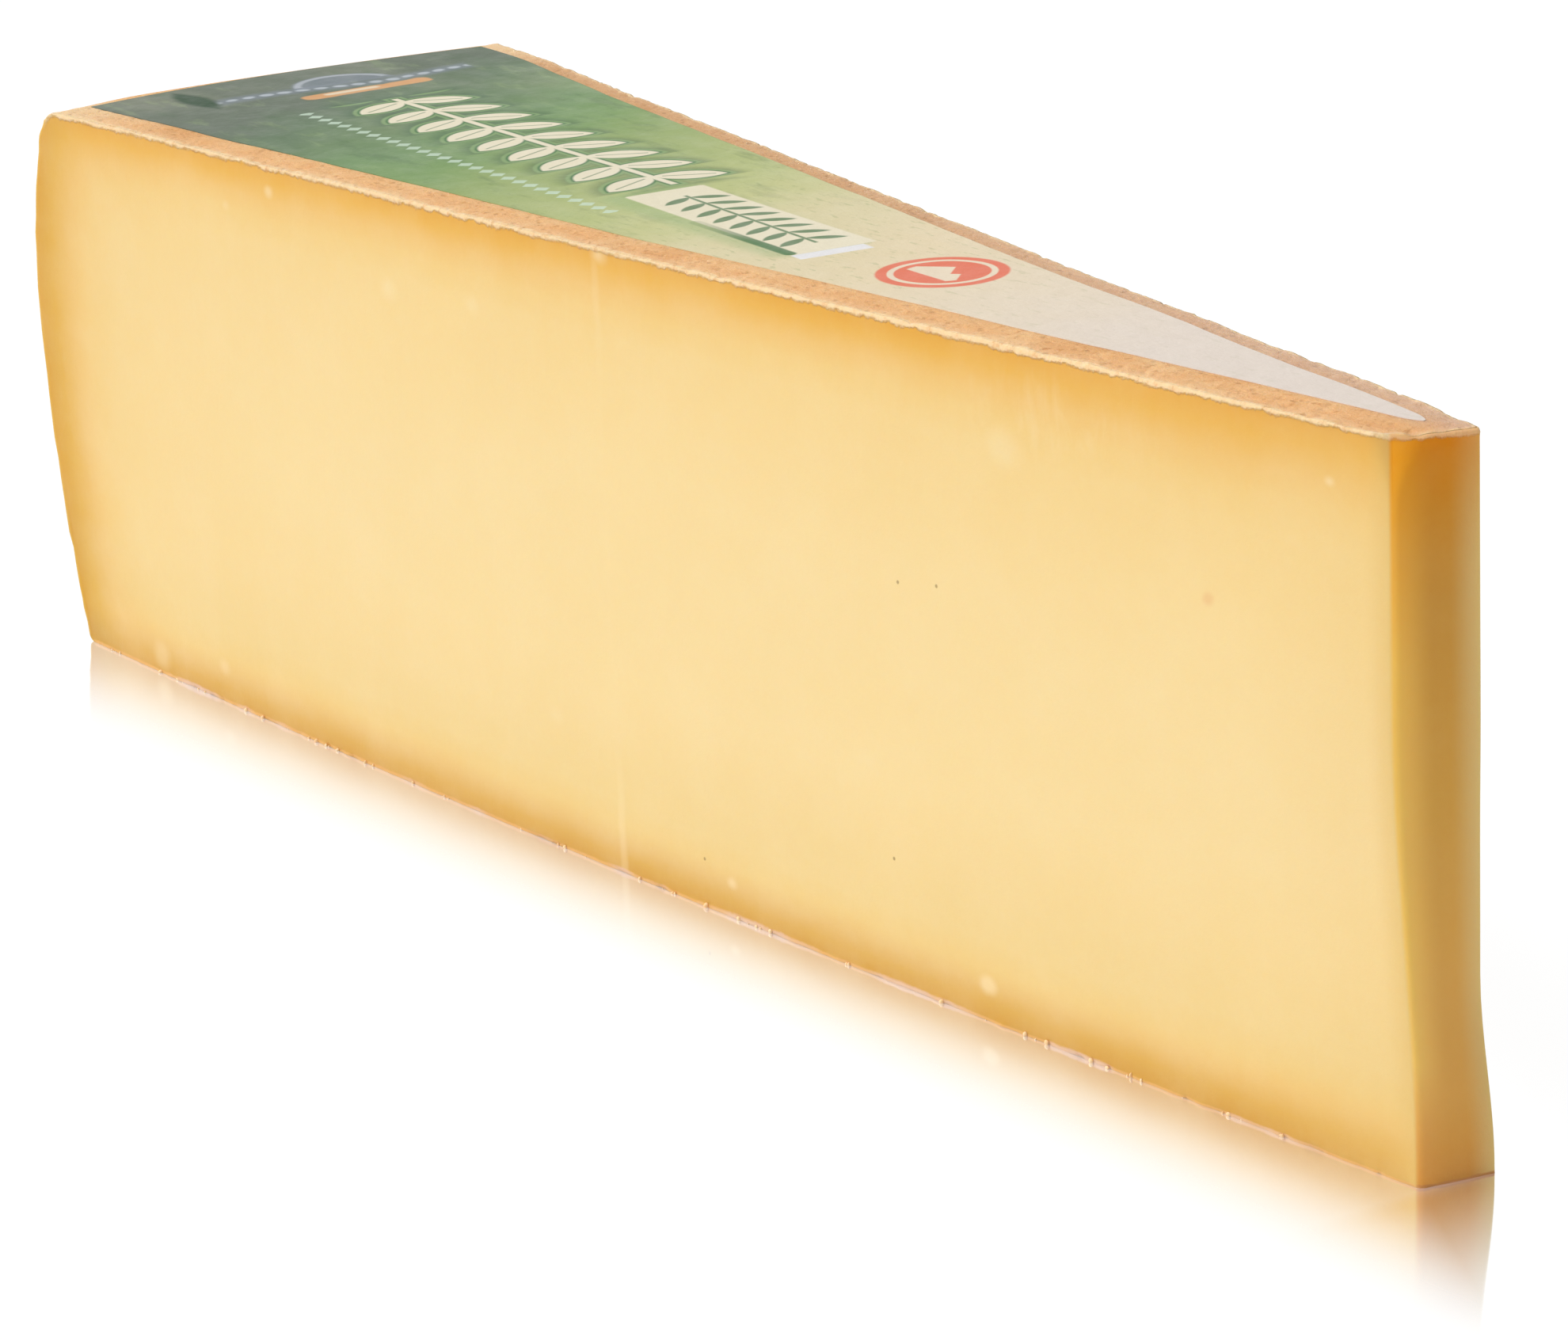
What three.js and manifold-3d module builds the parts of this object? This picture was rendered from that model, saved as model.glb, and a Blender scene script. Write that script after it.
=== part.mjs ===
// A wedge of hard pressed cheese, cut from a wheel and standing on its lower rind,
// with a long paper label glued along its upper rind.
// Units are millimetres. +Z is up, the blunt nose points to +X and the wheel's rim to -X.
// The near cut face looks to -Y and the far one to +Y. The origin is the middle of the base.

import * as THREE from 'three';
import { mergeVertices } from 'three/addons/utils/BufferGeometryUtils.js';
import Module from 'manifold-3d';

const wasm = await Module();
wasm.setup();

// ---------------------------------------------------------------- the wheel
const wheelRadius = 351.5;        // from the axis to the foot and the upper rim
const wheelHeight = 90;
const heelSwell = 6;              // how far the side of the wheel bulges past its rims
const heelSwellHeight = 54;       // height of the widest part of that bulge
const upperRimRadius = 4;         // rounding between the side and the upper rind
const footRimRadius = 1.5;        // rounding between the side and the lower rind

// ---------------------------------------------------------------- the knife's cuts
const wedgeAngle = THREE.MathUtils.degToRad(13.5);
const noseDistance = 45;          // from the wheel's axis to the cut that takes off the point
const nearFaceSwell = 2;          // how far the near cut face bows out at the middle of its length
const farFaceSwell = 0.8;
const noseFlare = 3.6;            // how far the foot of the nose spreads
const noseFlareHeight = 42;       // height at which that spread begins

// ---------------------------------------------------------------- the paper label
const nearBorder = 6.2;           // bare rind between the label and the near cut face
const farBorder = 3.8;
const noseBorder = 5.4;           // bare rind between the label's tip and the nose
const heelBorder = 0.8;           // flat rind left between the label and the rounded rim
const labelTipRadius = 1.1;       // the sharpest rounding that the paper's tip is cut to
const labelThickness = 0.2;
const glueLine = 0.05;            // clearance between the rind and the paper

// ---------------------------------------------------------------- fineness
const wheelSegments = 300;        // facets round the whole wheel
const profileSegments = 10;       // facets in each half of the side's bulge
const roundSegments = 5;          // facets in each rounded rim
const curveSegments = 16;         // facets in each bowed cut and in the label's tip
const overcut = 10;               // how far the knife shapes run past the wheel

const halfAngle = wedgeAngle / 2;

function solidFrom(geometry) {
  const bare = geometry.clone();
  bare.deleteAttribute('normal');
  bare.deleteAttribute('uv');
  const merged = mergeVertices(bare);
  const corners = merged.index.array;
  const triangles = [];
  for (let i = 0; i < corners.length; i += 3) {
    const [a, b, c] = [corners[i], corners[i + 1], corners[i + 2]];
    if (a !== b && b !== c && c !== a) triangles.push(a, b, c);
  }
  return new wasm.Manifold(new wasm.Mesh({
    numProp: 3,
    vertProperties: new Float32Array(merged.attributes.position.array),
    triVerts: new Uint32Array(triangles),
  }));
}

function geometryFrom(solid) {
  const mesh = solid.getMesh();
  const geometry = new THREE.BufferGeometry();
  geometry.setAttribute('position', new THREE.BufferAttribute(mesh.vertProperties, 3));
  geometry.setIndex(new THREE.BufferAttribute(mesh.triVerts, 1));
  geometry.computeVertexNormals();
  return geometry;
}

// The whole wheel: its half profile turned about the axis. Above and below its widest
// height the side falls back to the rims as a parabola, and each rim is a quarter round.
function wheelGeometry() {
  const upperStart = wheelHeight - upperRimRadius;
  const profile = [new THREE.Vector2(0, 0)];

  for (let i = 0; i <= roundSegments; i++) {
    const turn = (Math.PI / 2) * (i / roundSegments);
    profile.push(new THREE.Vector2(
      wheelRadius - footRimRadius + footRimRadius * Math.sin(turn),
      footRimRadius - footRimRadius * Math.cos(turn),
    ));
  }
  for (let i = 1; i < 2 * profileSegments; i++) {
    const share = i / profileSegments - 1;
    const reach = share < 0 ? heelSwellHeight - footRimRadius : upperStart - heelSwellHeight;
    profile.push(new THREE.Vector2(
      wheelRadius + heelSwell * (1 - share * share),
      heelSwellHeight + share * reach,
    ));
  }
  for (let i = 0; i <= roundSegments; i++) {
    const turn = (Math.PI / 2) * (i / roundSegments);
    profile.push(new THREE.Vector2(
      wheelRadius - upperRimRadius + upperRimRadius * Math.cos(turn),
      upperStart + upperRimRadius * Math.sin(turn),
    ));
  }
  profile.push(new THREE.Vector2(0, wheelHeight));

  const geometry = new THREE.LatheGeometry(profile, wheelSegments);
  geometry.rotateX(Math.PI / 2);
  return geometry;
}

// A point seen from above, `along` the cut from the wheel's axis and `inset` inside it.
// side is -1 for the near cut and +1 for the far one.
function cutPoint(side, along, inset = 0) {
  return new THREE.Vector2(
    -along * Math.cos(halfAngle) - inset * Math.sin(halfAngle),
    side * (along * Math.sin(halfAngle) - inset * Math.cos(halfAngle)),
  );
}

// Continues an outline to a point along a curve that swells to its left at its middle.
function curveWithSwell(shape, to, swell) {
  const from = shape.currentPoint;
  const left = new THREE.Vector2(from.y - to.y, to.x - from.x).normalize();
  const control = from.clone().add(to).multiplyScalar(0.5).addScaledVector(left, 2 * swell);
  shape.quadraticCurveTo(control.x, control.y, to.x, to.y);
}

// The two radial cuts as one tall prism, from the wheel's axis out past its rim.
function wedgeKnifeGeometry() {
  const noseAlong = noseDistance / Math.cos(halfAngle);
  const pastRim = wheelRadius + heelSwell + overcut;
  const outline = new THREE.Shape();
  const nearNose = cutPoint(-1, noseAlong);
  const nearPast = cutPoint(-1, pastRim);
  const farPast = cutPoint(1, pastRim);
  const farRim = cutPoint(1, wheelRadius);

  outline.moveTo(0, 0);
  outline.lineTo(nearNose.x, nearNose.y);
  curveWithSwell(outline, cutPoint(-1, wheelRadius), nearFaceSwell);
  outline.lineTo(nearPast.x, nearPast.y);
  outline.lineTo(farPast.x, farPast.y);
  outline.lineTo(farRim.x, farRim.y);
  curveWithSwell(outline, cutPoint(1, noseAlong), farFaceSwell);
  outline.closePath();

  const depth = wheelHeight + 2 * overcut;
  const geometry = new THREE.ExtrudeGeometry(outline, { depth, curveSegments, bevelEnabled: false });
  geometry.translate(0, 0, -overcut);
  return geometry;
}

// The cut that takes off the point, as a prism of its side view: upright above,
// and spreading in a parabola towards the foot.
function noseKnifeGeometry() {
  const back = -(wheelRadius + heelSwell + overcut);
  const top = wheelHeight + overcut;
  const foot = noseFlare - noseDistance;
  const outline = new THREE.Shape();

  outline.moveTo(back, -overcut);
  outline.lineTo(foot, -overcut);
  outline.lineTo(foot, 0);
  outline.quadraticCurveTo(-noseDistance, noseFlareHeight / 2, -noseDistance, noseFlareHeight);
  outline.lineTo(-noseDistance, top);
  outline.lineTo(back, top);
  outline.closePath();

  const halfWidth = (wheelRadius + heelSwell) * Math.tan(halfAngle) + overcut;
  const depth = 2 * halfWidth;
  const geometry = new THREE.ExtrudeGeometry(outline, { depth, curveSegments, bevelEnabled: false });
  geometry.rotateX(Math.PI / 2);
  geometry.translate(0, halfWidth, 0);
  return geometry;
}

// The label keeps its borders to the two cuts, ends in an arc short of the rim, and
// comes to a round tip that stays inside the nose.
function labelGeometry() {
  const heelReach = wheelRadius - upperRimRadius - heelBorder;
  const alongHeel = (border) => Math.sqrt(heelReach * heelReach - border * border);
  const sine = Math.sin(halfAngle);
  const apex = (nearBorder + farBorder) / (2 * sine);
  const sharpestTip = apex + (labelTipRadius / sine) * (1 - sine);
  const tip = Math.max(noseDistance + noseBorder, sharpestTip);
  const centreFromApex = (tip - apex) / (1 - sine);
  const tipRadius = centreFromApex * sine;
  const tipCentre = new THREE.Vector2(
    -apex - centreFromApex,
    (nearBorder - farBorder) / (2 * Math.cos(halfAngle)),
  );
  const tangent = (side) => new THREE.Vector2(
    tipCentre.x + tipRadius * sine,
    tipCentre.y + side * tipRadius * Math.cos(halfAngle),
  );

  const outline = new THREE.Shape();
  const nearTip = tangent(-1);
  const nearHeel = cutPoint(-1, alongHeel(nearBorder), nearBorder);
  const farHeel = cutPoint(1, alongHeel(farBorder), farBorder);
  const nearTurn = Math.atan2(nearHeel.y, nearHeel.x);
  const farTurn = Math.atan2(farHeel.y, farHeel.x);

  outline.moveTo(nearTip.x, nearTip.y);
  curveWithSwell(outline, nearHeel, nearFaceSwell);
  outline.absarc(0, 0, heelReach, nearTurn, farTurn, true);
  curveWithSwell(outline, tangent(1), farFaceSwell);
  outline.absarc(tipCentre.x, tipCentre.y, tipRadius, Math.PI / 2 - halfAngle, halfAngle - Math.PI / 2, true);

  const geometry = new THREE.ExtrudeGeometry(outline, {
    depth: labelThickness,
    curveSegments,
    bevelEnabled: false,
  });
  geometry.translate(0, 0, wheelHeight + glueLine);
  return geometry;
}

// ---------------------------------------------------------------- the parts
const cheese = new THREE.Mesh(
  geometryFrom(
    solidFrom(wheelGeometry())
      .intersect(solidFrom(wedgeKnifeGeometry()))
      .intersect(solidFrom(noseKnifeGeometry())),
  ),
  new THREE.MeshStandardMaterial({ color: 0xf4d28c, roughness: 0.5, metalness: 0 }),
);
cheese.name = 'cheese';

const label = new THREE.Mesh(
  labelGeometry(),
  new THREE.MeshStandardMaterial({ color: 0x86ab78, roughness: 0.6, metalness: 0 }),
);
label.name = 'label';

const wedge = new THREE.Group();
wedge.add(cheese, label);

// Both parts are shaped about the wheel's axis; the group moves the base's middle to the origin.
const extent = new THREE.Box3().setFromObject(cheese);
const middle = extent.getCenter(new THREE.Vector3());
wedge.position.set(-middle.x, -middle.y, 0);

export default wedge;
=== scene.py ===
"""A cut wedge of hard pressed cheese with its paper label, standing in a plain studio.

Run as a script, it makes the studio, the cheese, its label and the crumbs at its foot.
"""

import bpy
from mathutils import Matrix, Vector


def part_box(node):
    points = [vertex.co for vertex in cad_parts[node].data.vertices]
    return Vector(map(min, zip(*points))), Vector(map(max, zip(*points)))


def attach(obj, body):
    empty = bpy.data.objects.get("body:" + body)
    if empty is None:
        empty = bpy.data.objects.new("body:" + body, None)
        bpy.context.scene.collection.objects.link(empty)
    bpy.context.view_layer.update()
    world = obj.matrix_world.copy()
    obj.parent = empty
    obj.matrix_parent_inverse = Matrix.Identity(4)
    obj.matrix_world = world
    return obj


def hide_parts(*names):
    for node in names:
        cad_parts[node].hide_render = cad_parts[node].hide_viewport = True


bl_info = {
    "name": "Cheese Wedge",
    "version": (1, 0, 0),
    "blender": (4, 5, 0),
    "location": "3D View > Sidebar > Cheese Wedge",
    "description": "Makes a cut wedge of hard pressed cheese with its printed paper label",
    "category": "Add Mesh",
}

import math

import bpy
import numpy as np
from bpy.props import FloatProperty, FloatVectorProperty, IntProperty, PointerProperty
from mathutils import Euler, Vector

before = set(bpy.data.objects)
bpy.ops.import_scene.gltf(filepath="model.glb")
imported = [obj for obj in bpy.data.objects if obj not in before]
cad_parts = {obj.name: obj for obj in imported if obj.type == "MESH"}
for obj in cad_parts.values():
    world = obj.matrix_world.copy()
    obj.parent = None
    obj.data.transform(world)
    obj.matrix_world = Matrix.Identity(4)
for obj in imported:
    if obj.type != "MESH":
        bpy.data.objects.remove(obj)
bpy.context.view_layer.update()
CHEESE_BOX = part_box("cheese")
LABEL_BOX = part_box("label")
MM = 0.001
TO_MM = 1000.0
AXIS_PAST_NOSE = 41.4 * MM
TOP = CHEESE_BOX[1][2]

# cells of the two shells along, across and up, and how far they crowd towards the ends
WEDGE_CELLS = (500, 42, 48)
WEDGE_CROWDING = (0.3, 0.82, 0.95)
LABEL_CELLS = (260, 30, 1)
LABEL_CROWDING = (0.95, 0.96)

# how high the paper cockles
PAPER_COCKLE = 0.012 * MM

# height below the top in which the nose's near corner rounds off
CROWN_REACH = 8 * MM

# seeds of the reliefs
WAVE_SEED = 11
GRAIN_SEED = 21
PIT_SEED = 31
LIP_SEED = 41
PASTE_SEED = 51
PAPER_SEED = 71
EDGE_SEED = 81


# ------------------------------------------------------------------ sizes and colours


def length_property(name, description, millimetres):
    """A length setting, given in millimetres and kept in metres."""
    return FloatProperty(
        name=name, description=description, default=millimetres * MM, precision=5,
        unit="LENGTH", subtype="DISTANCE",
    )


def colour_property(name, description, red, green, blue):
    """A colour setting, given as display values from 0 to 255."""
    return FloatVectorProperty(
        name=name, description=description, default=(red / 255, green / 255, blue / 255),
        subtype="COLOR_GAMMA", size=3, min=0.0, max=1.0,
    )


class WedgeSizes(bpy.types.PropertyGroup):
    """The wheel, the cuts and the relief of the cheese."""

    wheel_radius: length_property("Wheel radius", "From the axis to the wheel's rims", 352.1)
    heel_swell: length_property("Heel swell", "How far the wheel's side bulges past its rims", 6.4)
    heel_swell_height: length_property("Swell height", "Height of the widest part of the side", 54)
    upper_rim: length_property("Upper rim", "Rounding between the side and the upper rind", 2.0)
    near_rim: length_property("Near rim", "The same rounding where it meets the near cut", 5.0)
    foot_rim: length_property("Foot rim", "Rounding between the side and the lower rind", 1.5)
    wedge_angle: FloatProperty(
        name="Wedge angle", description="Angle between the two long cuts",
        default=math.radians(13.5), subtype="ANGLE", unit="ROTATION",
    )
    nose_distance: length_property("Nose distance", "From the wheel's axis to the nose cut", 44.4)
    nose_skew: length_property("Nose skew", "How far the nose's near corner is set back", 1.0)
    near_flare: length_property("Near flare", "How far the nose's near foot corner spreads", 3.4)
    near_flare_height: length_property("Near flare height", "Height where it begins", 56)
    far_flare: length_property("Far flare", "How far the nose's far foot corner spreads", 3.1)
    far_flare_height: length_property("Far flare height", "Height where it begins", 24)
    near_swell_top: length_property("Near swell, top", "Bow of the near cut at its top", 1.5)
    near_swell_foot: length_property("Near swell, foot", "Bow of the near cut at its foot", 3.0)
    far_swell: length_property("Far swell", "Bow of the far cut", 1.0)
    near_lean: length_property("Near lean", "How far the near cut leans in at its top", 0.8)
    crown_skew: length_property("Crown skew", "How far the nose's near top corner is set back", 1.1)
    lean_start: length_property("Lean start", "Height above which those two begin", 30)
    nose_round: length_property("Nose corner", "Rounding of the nose's upright corners", 0.8)
    crown_round: length_property("Crown corner", "The near one's rounding at its top", 4.2)
    cut_round: length_property("Cut edge", "Rounding where a cut meets the rind", 0.45)
    rind_relief: length_property("Rind relief", "Height of the grain on bare rind", 0.24)
    rind_wave: length_property("Rind wave", "Slow rise and fall of the upper rind", 0.25)
    fringe_lip: length_property("Fringe lip", "How far the torn rind edge stands out", 0.06)
    foot_edge: length_property("Foot edge", "Rounding where a cut meets the lower rind", 0.06)
    paste_wave: length_property("Paste wave", "Slow rise and fall of the cut faces", 0.16)


class WedgeColours(bpy.types.PropertyGroup):
    """The colours of the paste and the rind."""

    paste_heart: colour_property("Paste heart", "Cut paste far from the rind", 247, 217, 157)
    paste_pale: colour_property("Paste", "Cut paste a finger's width from the rind", 244, 211, 145)
    paste_straw: colour_property("Paste straw", "Cut paste nearer the rind", 240, 196, 120)
    paste_gold: colour_property("Paste gold", "Drier paste close under the rind", 235, 182, 88)
    paste_rim: colour_property("Paste rim", "Paste against the rind", 228, 168, 72)
    nose_ochre: colour_property("Nose", "The old cut across the nose", 222, 169, 80)
    nose_crown: colour_property("Nose crown", "The nose close under the rind", 224, 138, 18)
    # painted light: the nose's bright edge beside the near cut, where the rounded corner catches the
    # key light and light comes through the paste
    nose_near_painted_light: colour_property("Nose near edge", "The nose beside the near cut", 252, 200, 98)
    nose_far: colour_property("Nose far edge", "The nose beside the far cut", 230, 201, 136)
    nose_foot: colour_property("Nose foot", "The nose close above the lower rind", 214, 148, 72)
    rind_tan: colour_property("Rind", "Bare rind", 240, 180, 124)
    rind_brown: colour_property("Rind grain", "Pits and grain of the rind", 204, 138, 84)
    rind_blond: colour_property("Rind bloom", "Dry pale patches of the rind", 247, 202, 150)
    fringe_cream: colour_property("Rind edge", "Torn edge of the rind", 253, 217, 172)
    # painted shade: the greyer, darker rind beside the far cut
    rind_far_shade: colour_property("Rind far side", "Rind beside the far cut", 190, 150, 118)
    rind_fleck: colour_property("Rind flecks", "Small dark flecks of the rind", 184, 116, 70)
    foot_line: colour_property("Foot line", "Thin line of rind along the foot", 227, 171, 104)


class LabelSettings(bpy.types.PropertyGroup):
    """The paper label's borders and print."""

    near_border: length_property("Near border", "Bare rind beside the near cut", 6.5)
    far_border: length_property("Far border", "Bare rind beside the far cut", 3.8)
    near_taper: length_property("Near taper", "How much wider the near border is at the nose", 0.5)
    far_taper: length_property("Far taper", "How much narrower the far border is at the nose", 0.4)
    nose_border: length_property("Nose border", "Bare rind before the nose", 5.4)
    heel_border: length_property("Heel border", "Flat rind behind the label", 0.5)
    heel_turn: length_property("Heel turn", "How far the near heel corner is drawn in", 2.0)
    tip_length: length_property("Tip length", "Length over which the tip rounds off", 3.2)
    edge_waver: length_property("Edge waver", "How far the long edges stray from straight", 0.25)
    paper: length_property("Paper", "Thickness of the paper", 0.15)
    sink: length_property("Sink", "How deep the paper is pressed into the rind", 0.05)
    print_cream: colour_property("Cream print", "Sprig, panel and dots", 236, 226, 200)
    print_green: colour_property("Green print", "Outlines and bar", 66, 112, 70)
    print_shade: colour_property("Shade print", "Darker ground about the sprig", 62, 92, 68)
    print_leaf: colour_property("Leaf print", "Light green rim of the sprig", 148, 176, 122)
    print_clay: colour_property("Clay print", "Medallion", 228, 112, 86)
    print_orange: colour_property("Orange print", "Brush stroke at the heel", 226, 168, 116)
    print_slate: colour_property("Slate print", "Hill at the heel", 132, 141, 156)


class StudioSettings(bpy.types.PropertyGroup):
    """The camera, the light and the floor."""

    camera_place: FloatVectorProperty(
        name="Camera", description="Where the camera stands", size=3,
        default=(0.552, -0.3191, 0.2264), subtype="TRANSLATION", unit="LENGTH",
    )
    camera_turn: FloatProperty(
        name="Turn", description="How far the camera is turned from looking along +Y",
        default=math.radians(59.6), subtype="ANGLE", unit="ROTATION",
    )
    camera_dip: FloatProperty(
        name="Dip", description="How far the camera looks down",
        default=math.radians(17.66), subtype="ANGLE", unit="ROTATION",
    )
    camera_roll: FloatProperty(
        name="Roll", description="How far the camera leans about its own axis",
        default=math.radians(-2.77), subtype="ANGLE", unit="ROTATION",
    )
    lens: FloatProperty(name="Lens", description="Focal length in millimetres", default=106.9)
    key_strength: FloatProperty(name="Key", description="Strength of the soft key light", default=2.4)
    sky_strength: FloatProperty(name="Sky", description="Strength of the light all round", default=0.35)
    floor_half: FloatProperty(
        name="Floor", description="Half the floor's side", default=3.0,
        unit="LENGTH", subtype="DISTANCE",
    )


# ------------------------------------------------------------------ numbers and noise


def graded(steps, crowding):
    """Shares from 0 to 1, drawn together at both ends.

    The spacing is 1 - crowding of the mean at the ends and 1 + crowding of it at the middle.
    """
    even = np.linspace(0.0, 1.0, steps + 1)
    return even - crowding * np.sin(2.0 * np.pi * even) / (2.0 * np.pi)


def smooth_step(value, low, high):
    """0 below low, 1 above high, and a smooth S between them."""
    share = np.clip((value - low) / (high - low), 0.0, 1.0)
    return share * share * (3.0 - 2.0 * share)


# large odd numbers that scatter the lattice's corners, and how many values 32 bits hold
CORNER_FACTORS = (374761393, 668265263, 2246822519)
SEED_FACTOR = 3266489917
MIXING_FACTOR = 1274126177
WORD = 2 ** 32


def corner_value(cell, seed):
    """A repeatable number from -1 to 1 for each whole-numbered lattice corner."""
    mixed = np.full(len(cell), seed * SEED_FACTOR % WORD, dtype=np.uint32)
    for axis, factor in enumerate(CORNER_FACTORS):
        mixed += cell[:, axis].astype(np.uint32) * np.uint32(factor)
    mixed = (mixed ^ (mixed >> np.uint32(13))) * np.uint32(MIXING_FACTOR)
    mixed = mixed ^ (mixed >> np.uint32(16))
    return mixed.astype(np.float64) / (WORD / 2 - 0.5) - 1.0


def noise(points, wavelength, seed):
    """Smooth random relief from -1 to 1: lattice values blended by an S curve on each axis."""
    place = points / wavelength
    cell = np.floor(place)
    share = place - cell
    share = share * share * (3.0 - 2.0 * share)
    cell = cell.astype(np.int64)
    total = np.zeros(len(points))
    for dx in (0, 1):
        for dy in (0, 1):
            for dz in (0, 1):
                corner = np.array([dx, dy, dz])
                weight = np.prod(np.where(corner == 1, share, 1.0 - share), axis=1)
                total += weight * corner_value(cell + corner, seed)
    return total


def layered_noise(points, wavelength, layers, seed):
    """Noise plus finer noise, each layer half as long and half as high as the one before."""
    total = np.zeros(len(points))
    for layer in range(layers):
        total += noise(points, wavelength / 2 ** layer, seed + layer) / 2 ** layer
    return total


# ------------------------------------------------------------------ meshes


def block_shell(along, across, up):
    """The outside of a block of lattice cells: its corners' indices and its outward quads.

    along, across and up are the numbers of cells. Corners on shared edges are kept once.
    """
    def grid(first, second):
        return np.meshgrid(np.arange(first), np.arange(second), indexing="ij")

    def key(i, j, k):
        return (i * (across + 1) + j) * (up + 1) + k

    def quads(*corners):
        return np.stack([key(*corner).ravel() for corner in corners], axis=1)

    j, k = grid(across, up)
    heel = quads((0, j, k), (0, j, k + 1), (0, j + 1, k + 1), (0, j + 1, k))
    nose = quads((along, j, k), (along, j + 1, k), (along, j + 1, k + 1), (along, j, k + 1))
    i, k = grid(along, up)
    near = quads((i, 0, k), (i + 1, 0, k), (i + 1, 0, k + 1), (i, 0, k + 1))
    far = quads((i, across, k), (i, across, k + 1), (i + 1, across, k + 1), (i + 1, across, k))
    i, j = grid(along, across)
    foot = quads((i, j, 0), (i, j + 1, 0), (i + 1, j + 1, 0), (i + 1, j, 0))
    top = quads((i, j, up), (i + 1, j, up), (i + 1, j + 1, up), (i, j + 1, up))

    keys = np.concatenate([heel, nose, near, far, foot, top])
    kept, faces = np.unique(keys, return_inverse=True)
    row, k = kept // (up + 1), kept % (up + 1)
    corners = np.stack([row // (across + 1), row % (across + 1), k])
    return corners, faces.reshape(keys.shape)


def corner_normals(points, faces):
    """Unit normals at the points: the sum of the crossed diagonals of the faces round each."""
    crossed = np.cross(
        points[faces[:, 2]] - points[faces[:, 0]],
        points[faces[:, 3]] - points[faces[:, 1]],
    )
    total = np.stack([
        sum(np.bincount(faces[:, c], crossed[:, axis], len(points)) for c in range(4))
        for axis in range(3)
    ], axis=1)
    return total / np.maximum(np.linalg.norm(total, axis=1), 1e-12)[:, None]


def mesh_object(name, points, faces, material, attributes=None):
    """A smooth-shaded object at the origin, made from whole arrays, with point attributes."""
    mesh = bpy.data.meshes.new(name)
    sides = faces.shape[1]
    mesh.vertices.add(len(points))
    mesh.vertices.foreach_set("co", points.astype(np.float32).ravel())
    mesh.loops.add(faces.size)
    mesh.loops.foreach_set("vertex_index", faces.astype(np.int32).ravel())
    mesh.polygons.add(len(faces))
    mesh.polygons.foreach_set("loop_start", np.arange(0, faces.size, sides, dtype=np.int32))
    mesh.update(calc_edges=True)
    mesh.validate()
    mesh.shade_smooth()
    for key, values in (attributes or {}).items():
        layer = mesh.attributes.new(key, "FLOAT", "POINT")
        layer.data.foreach_set("value", values.astype(np.float32))
    mesh.materials.append(material)
    made = bpy.data.objects.new(name, mesh)
    bpy.context.scene.collection.objects.link(made)
    return made


# ------------------------------------------------------------------ shader words


def linear(colour):
    """A display colour turned into the linear light that shaders use."""
    shown = np.array(colour[:3], dtype=float)
    light = np.where(shown <= 0.04045, shown / 12.92, ((shown + 0.055) / 1.055) ** 2.4)
    return (*light, 1.0)


# where a Mix node keeps its factor, its two colours and its resulting colour
MIX_FACTOR = 0
MIX_COLOURS = (6, 7)
MIX_RESULT = 2


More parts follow.
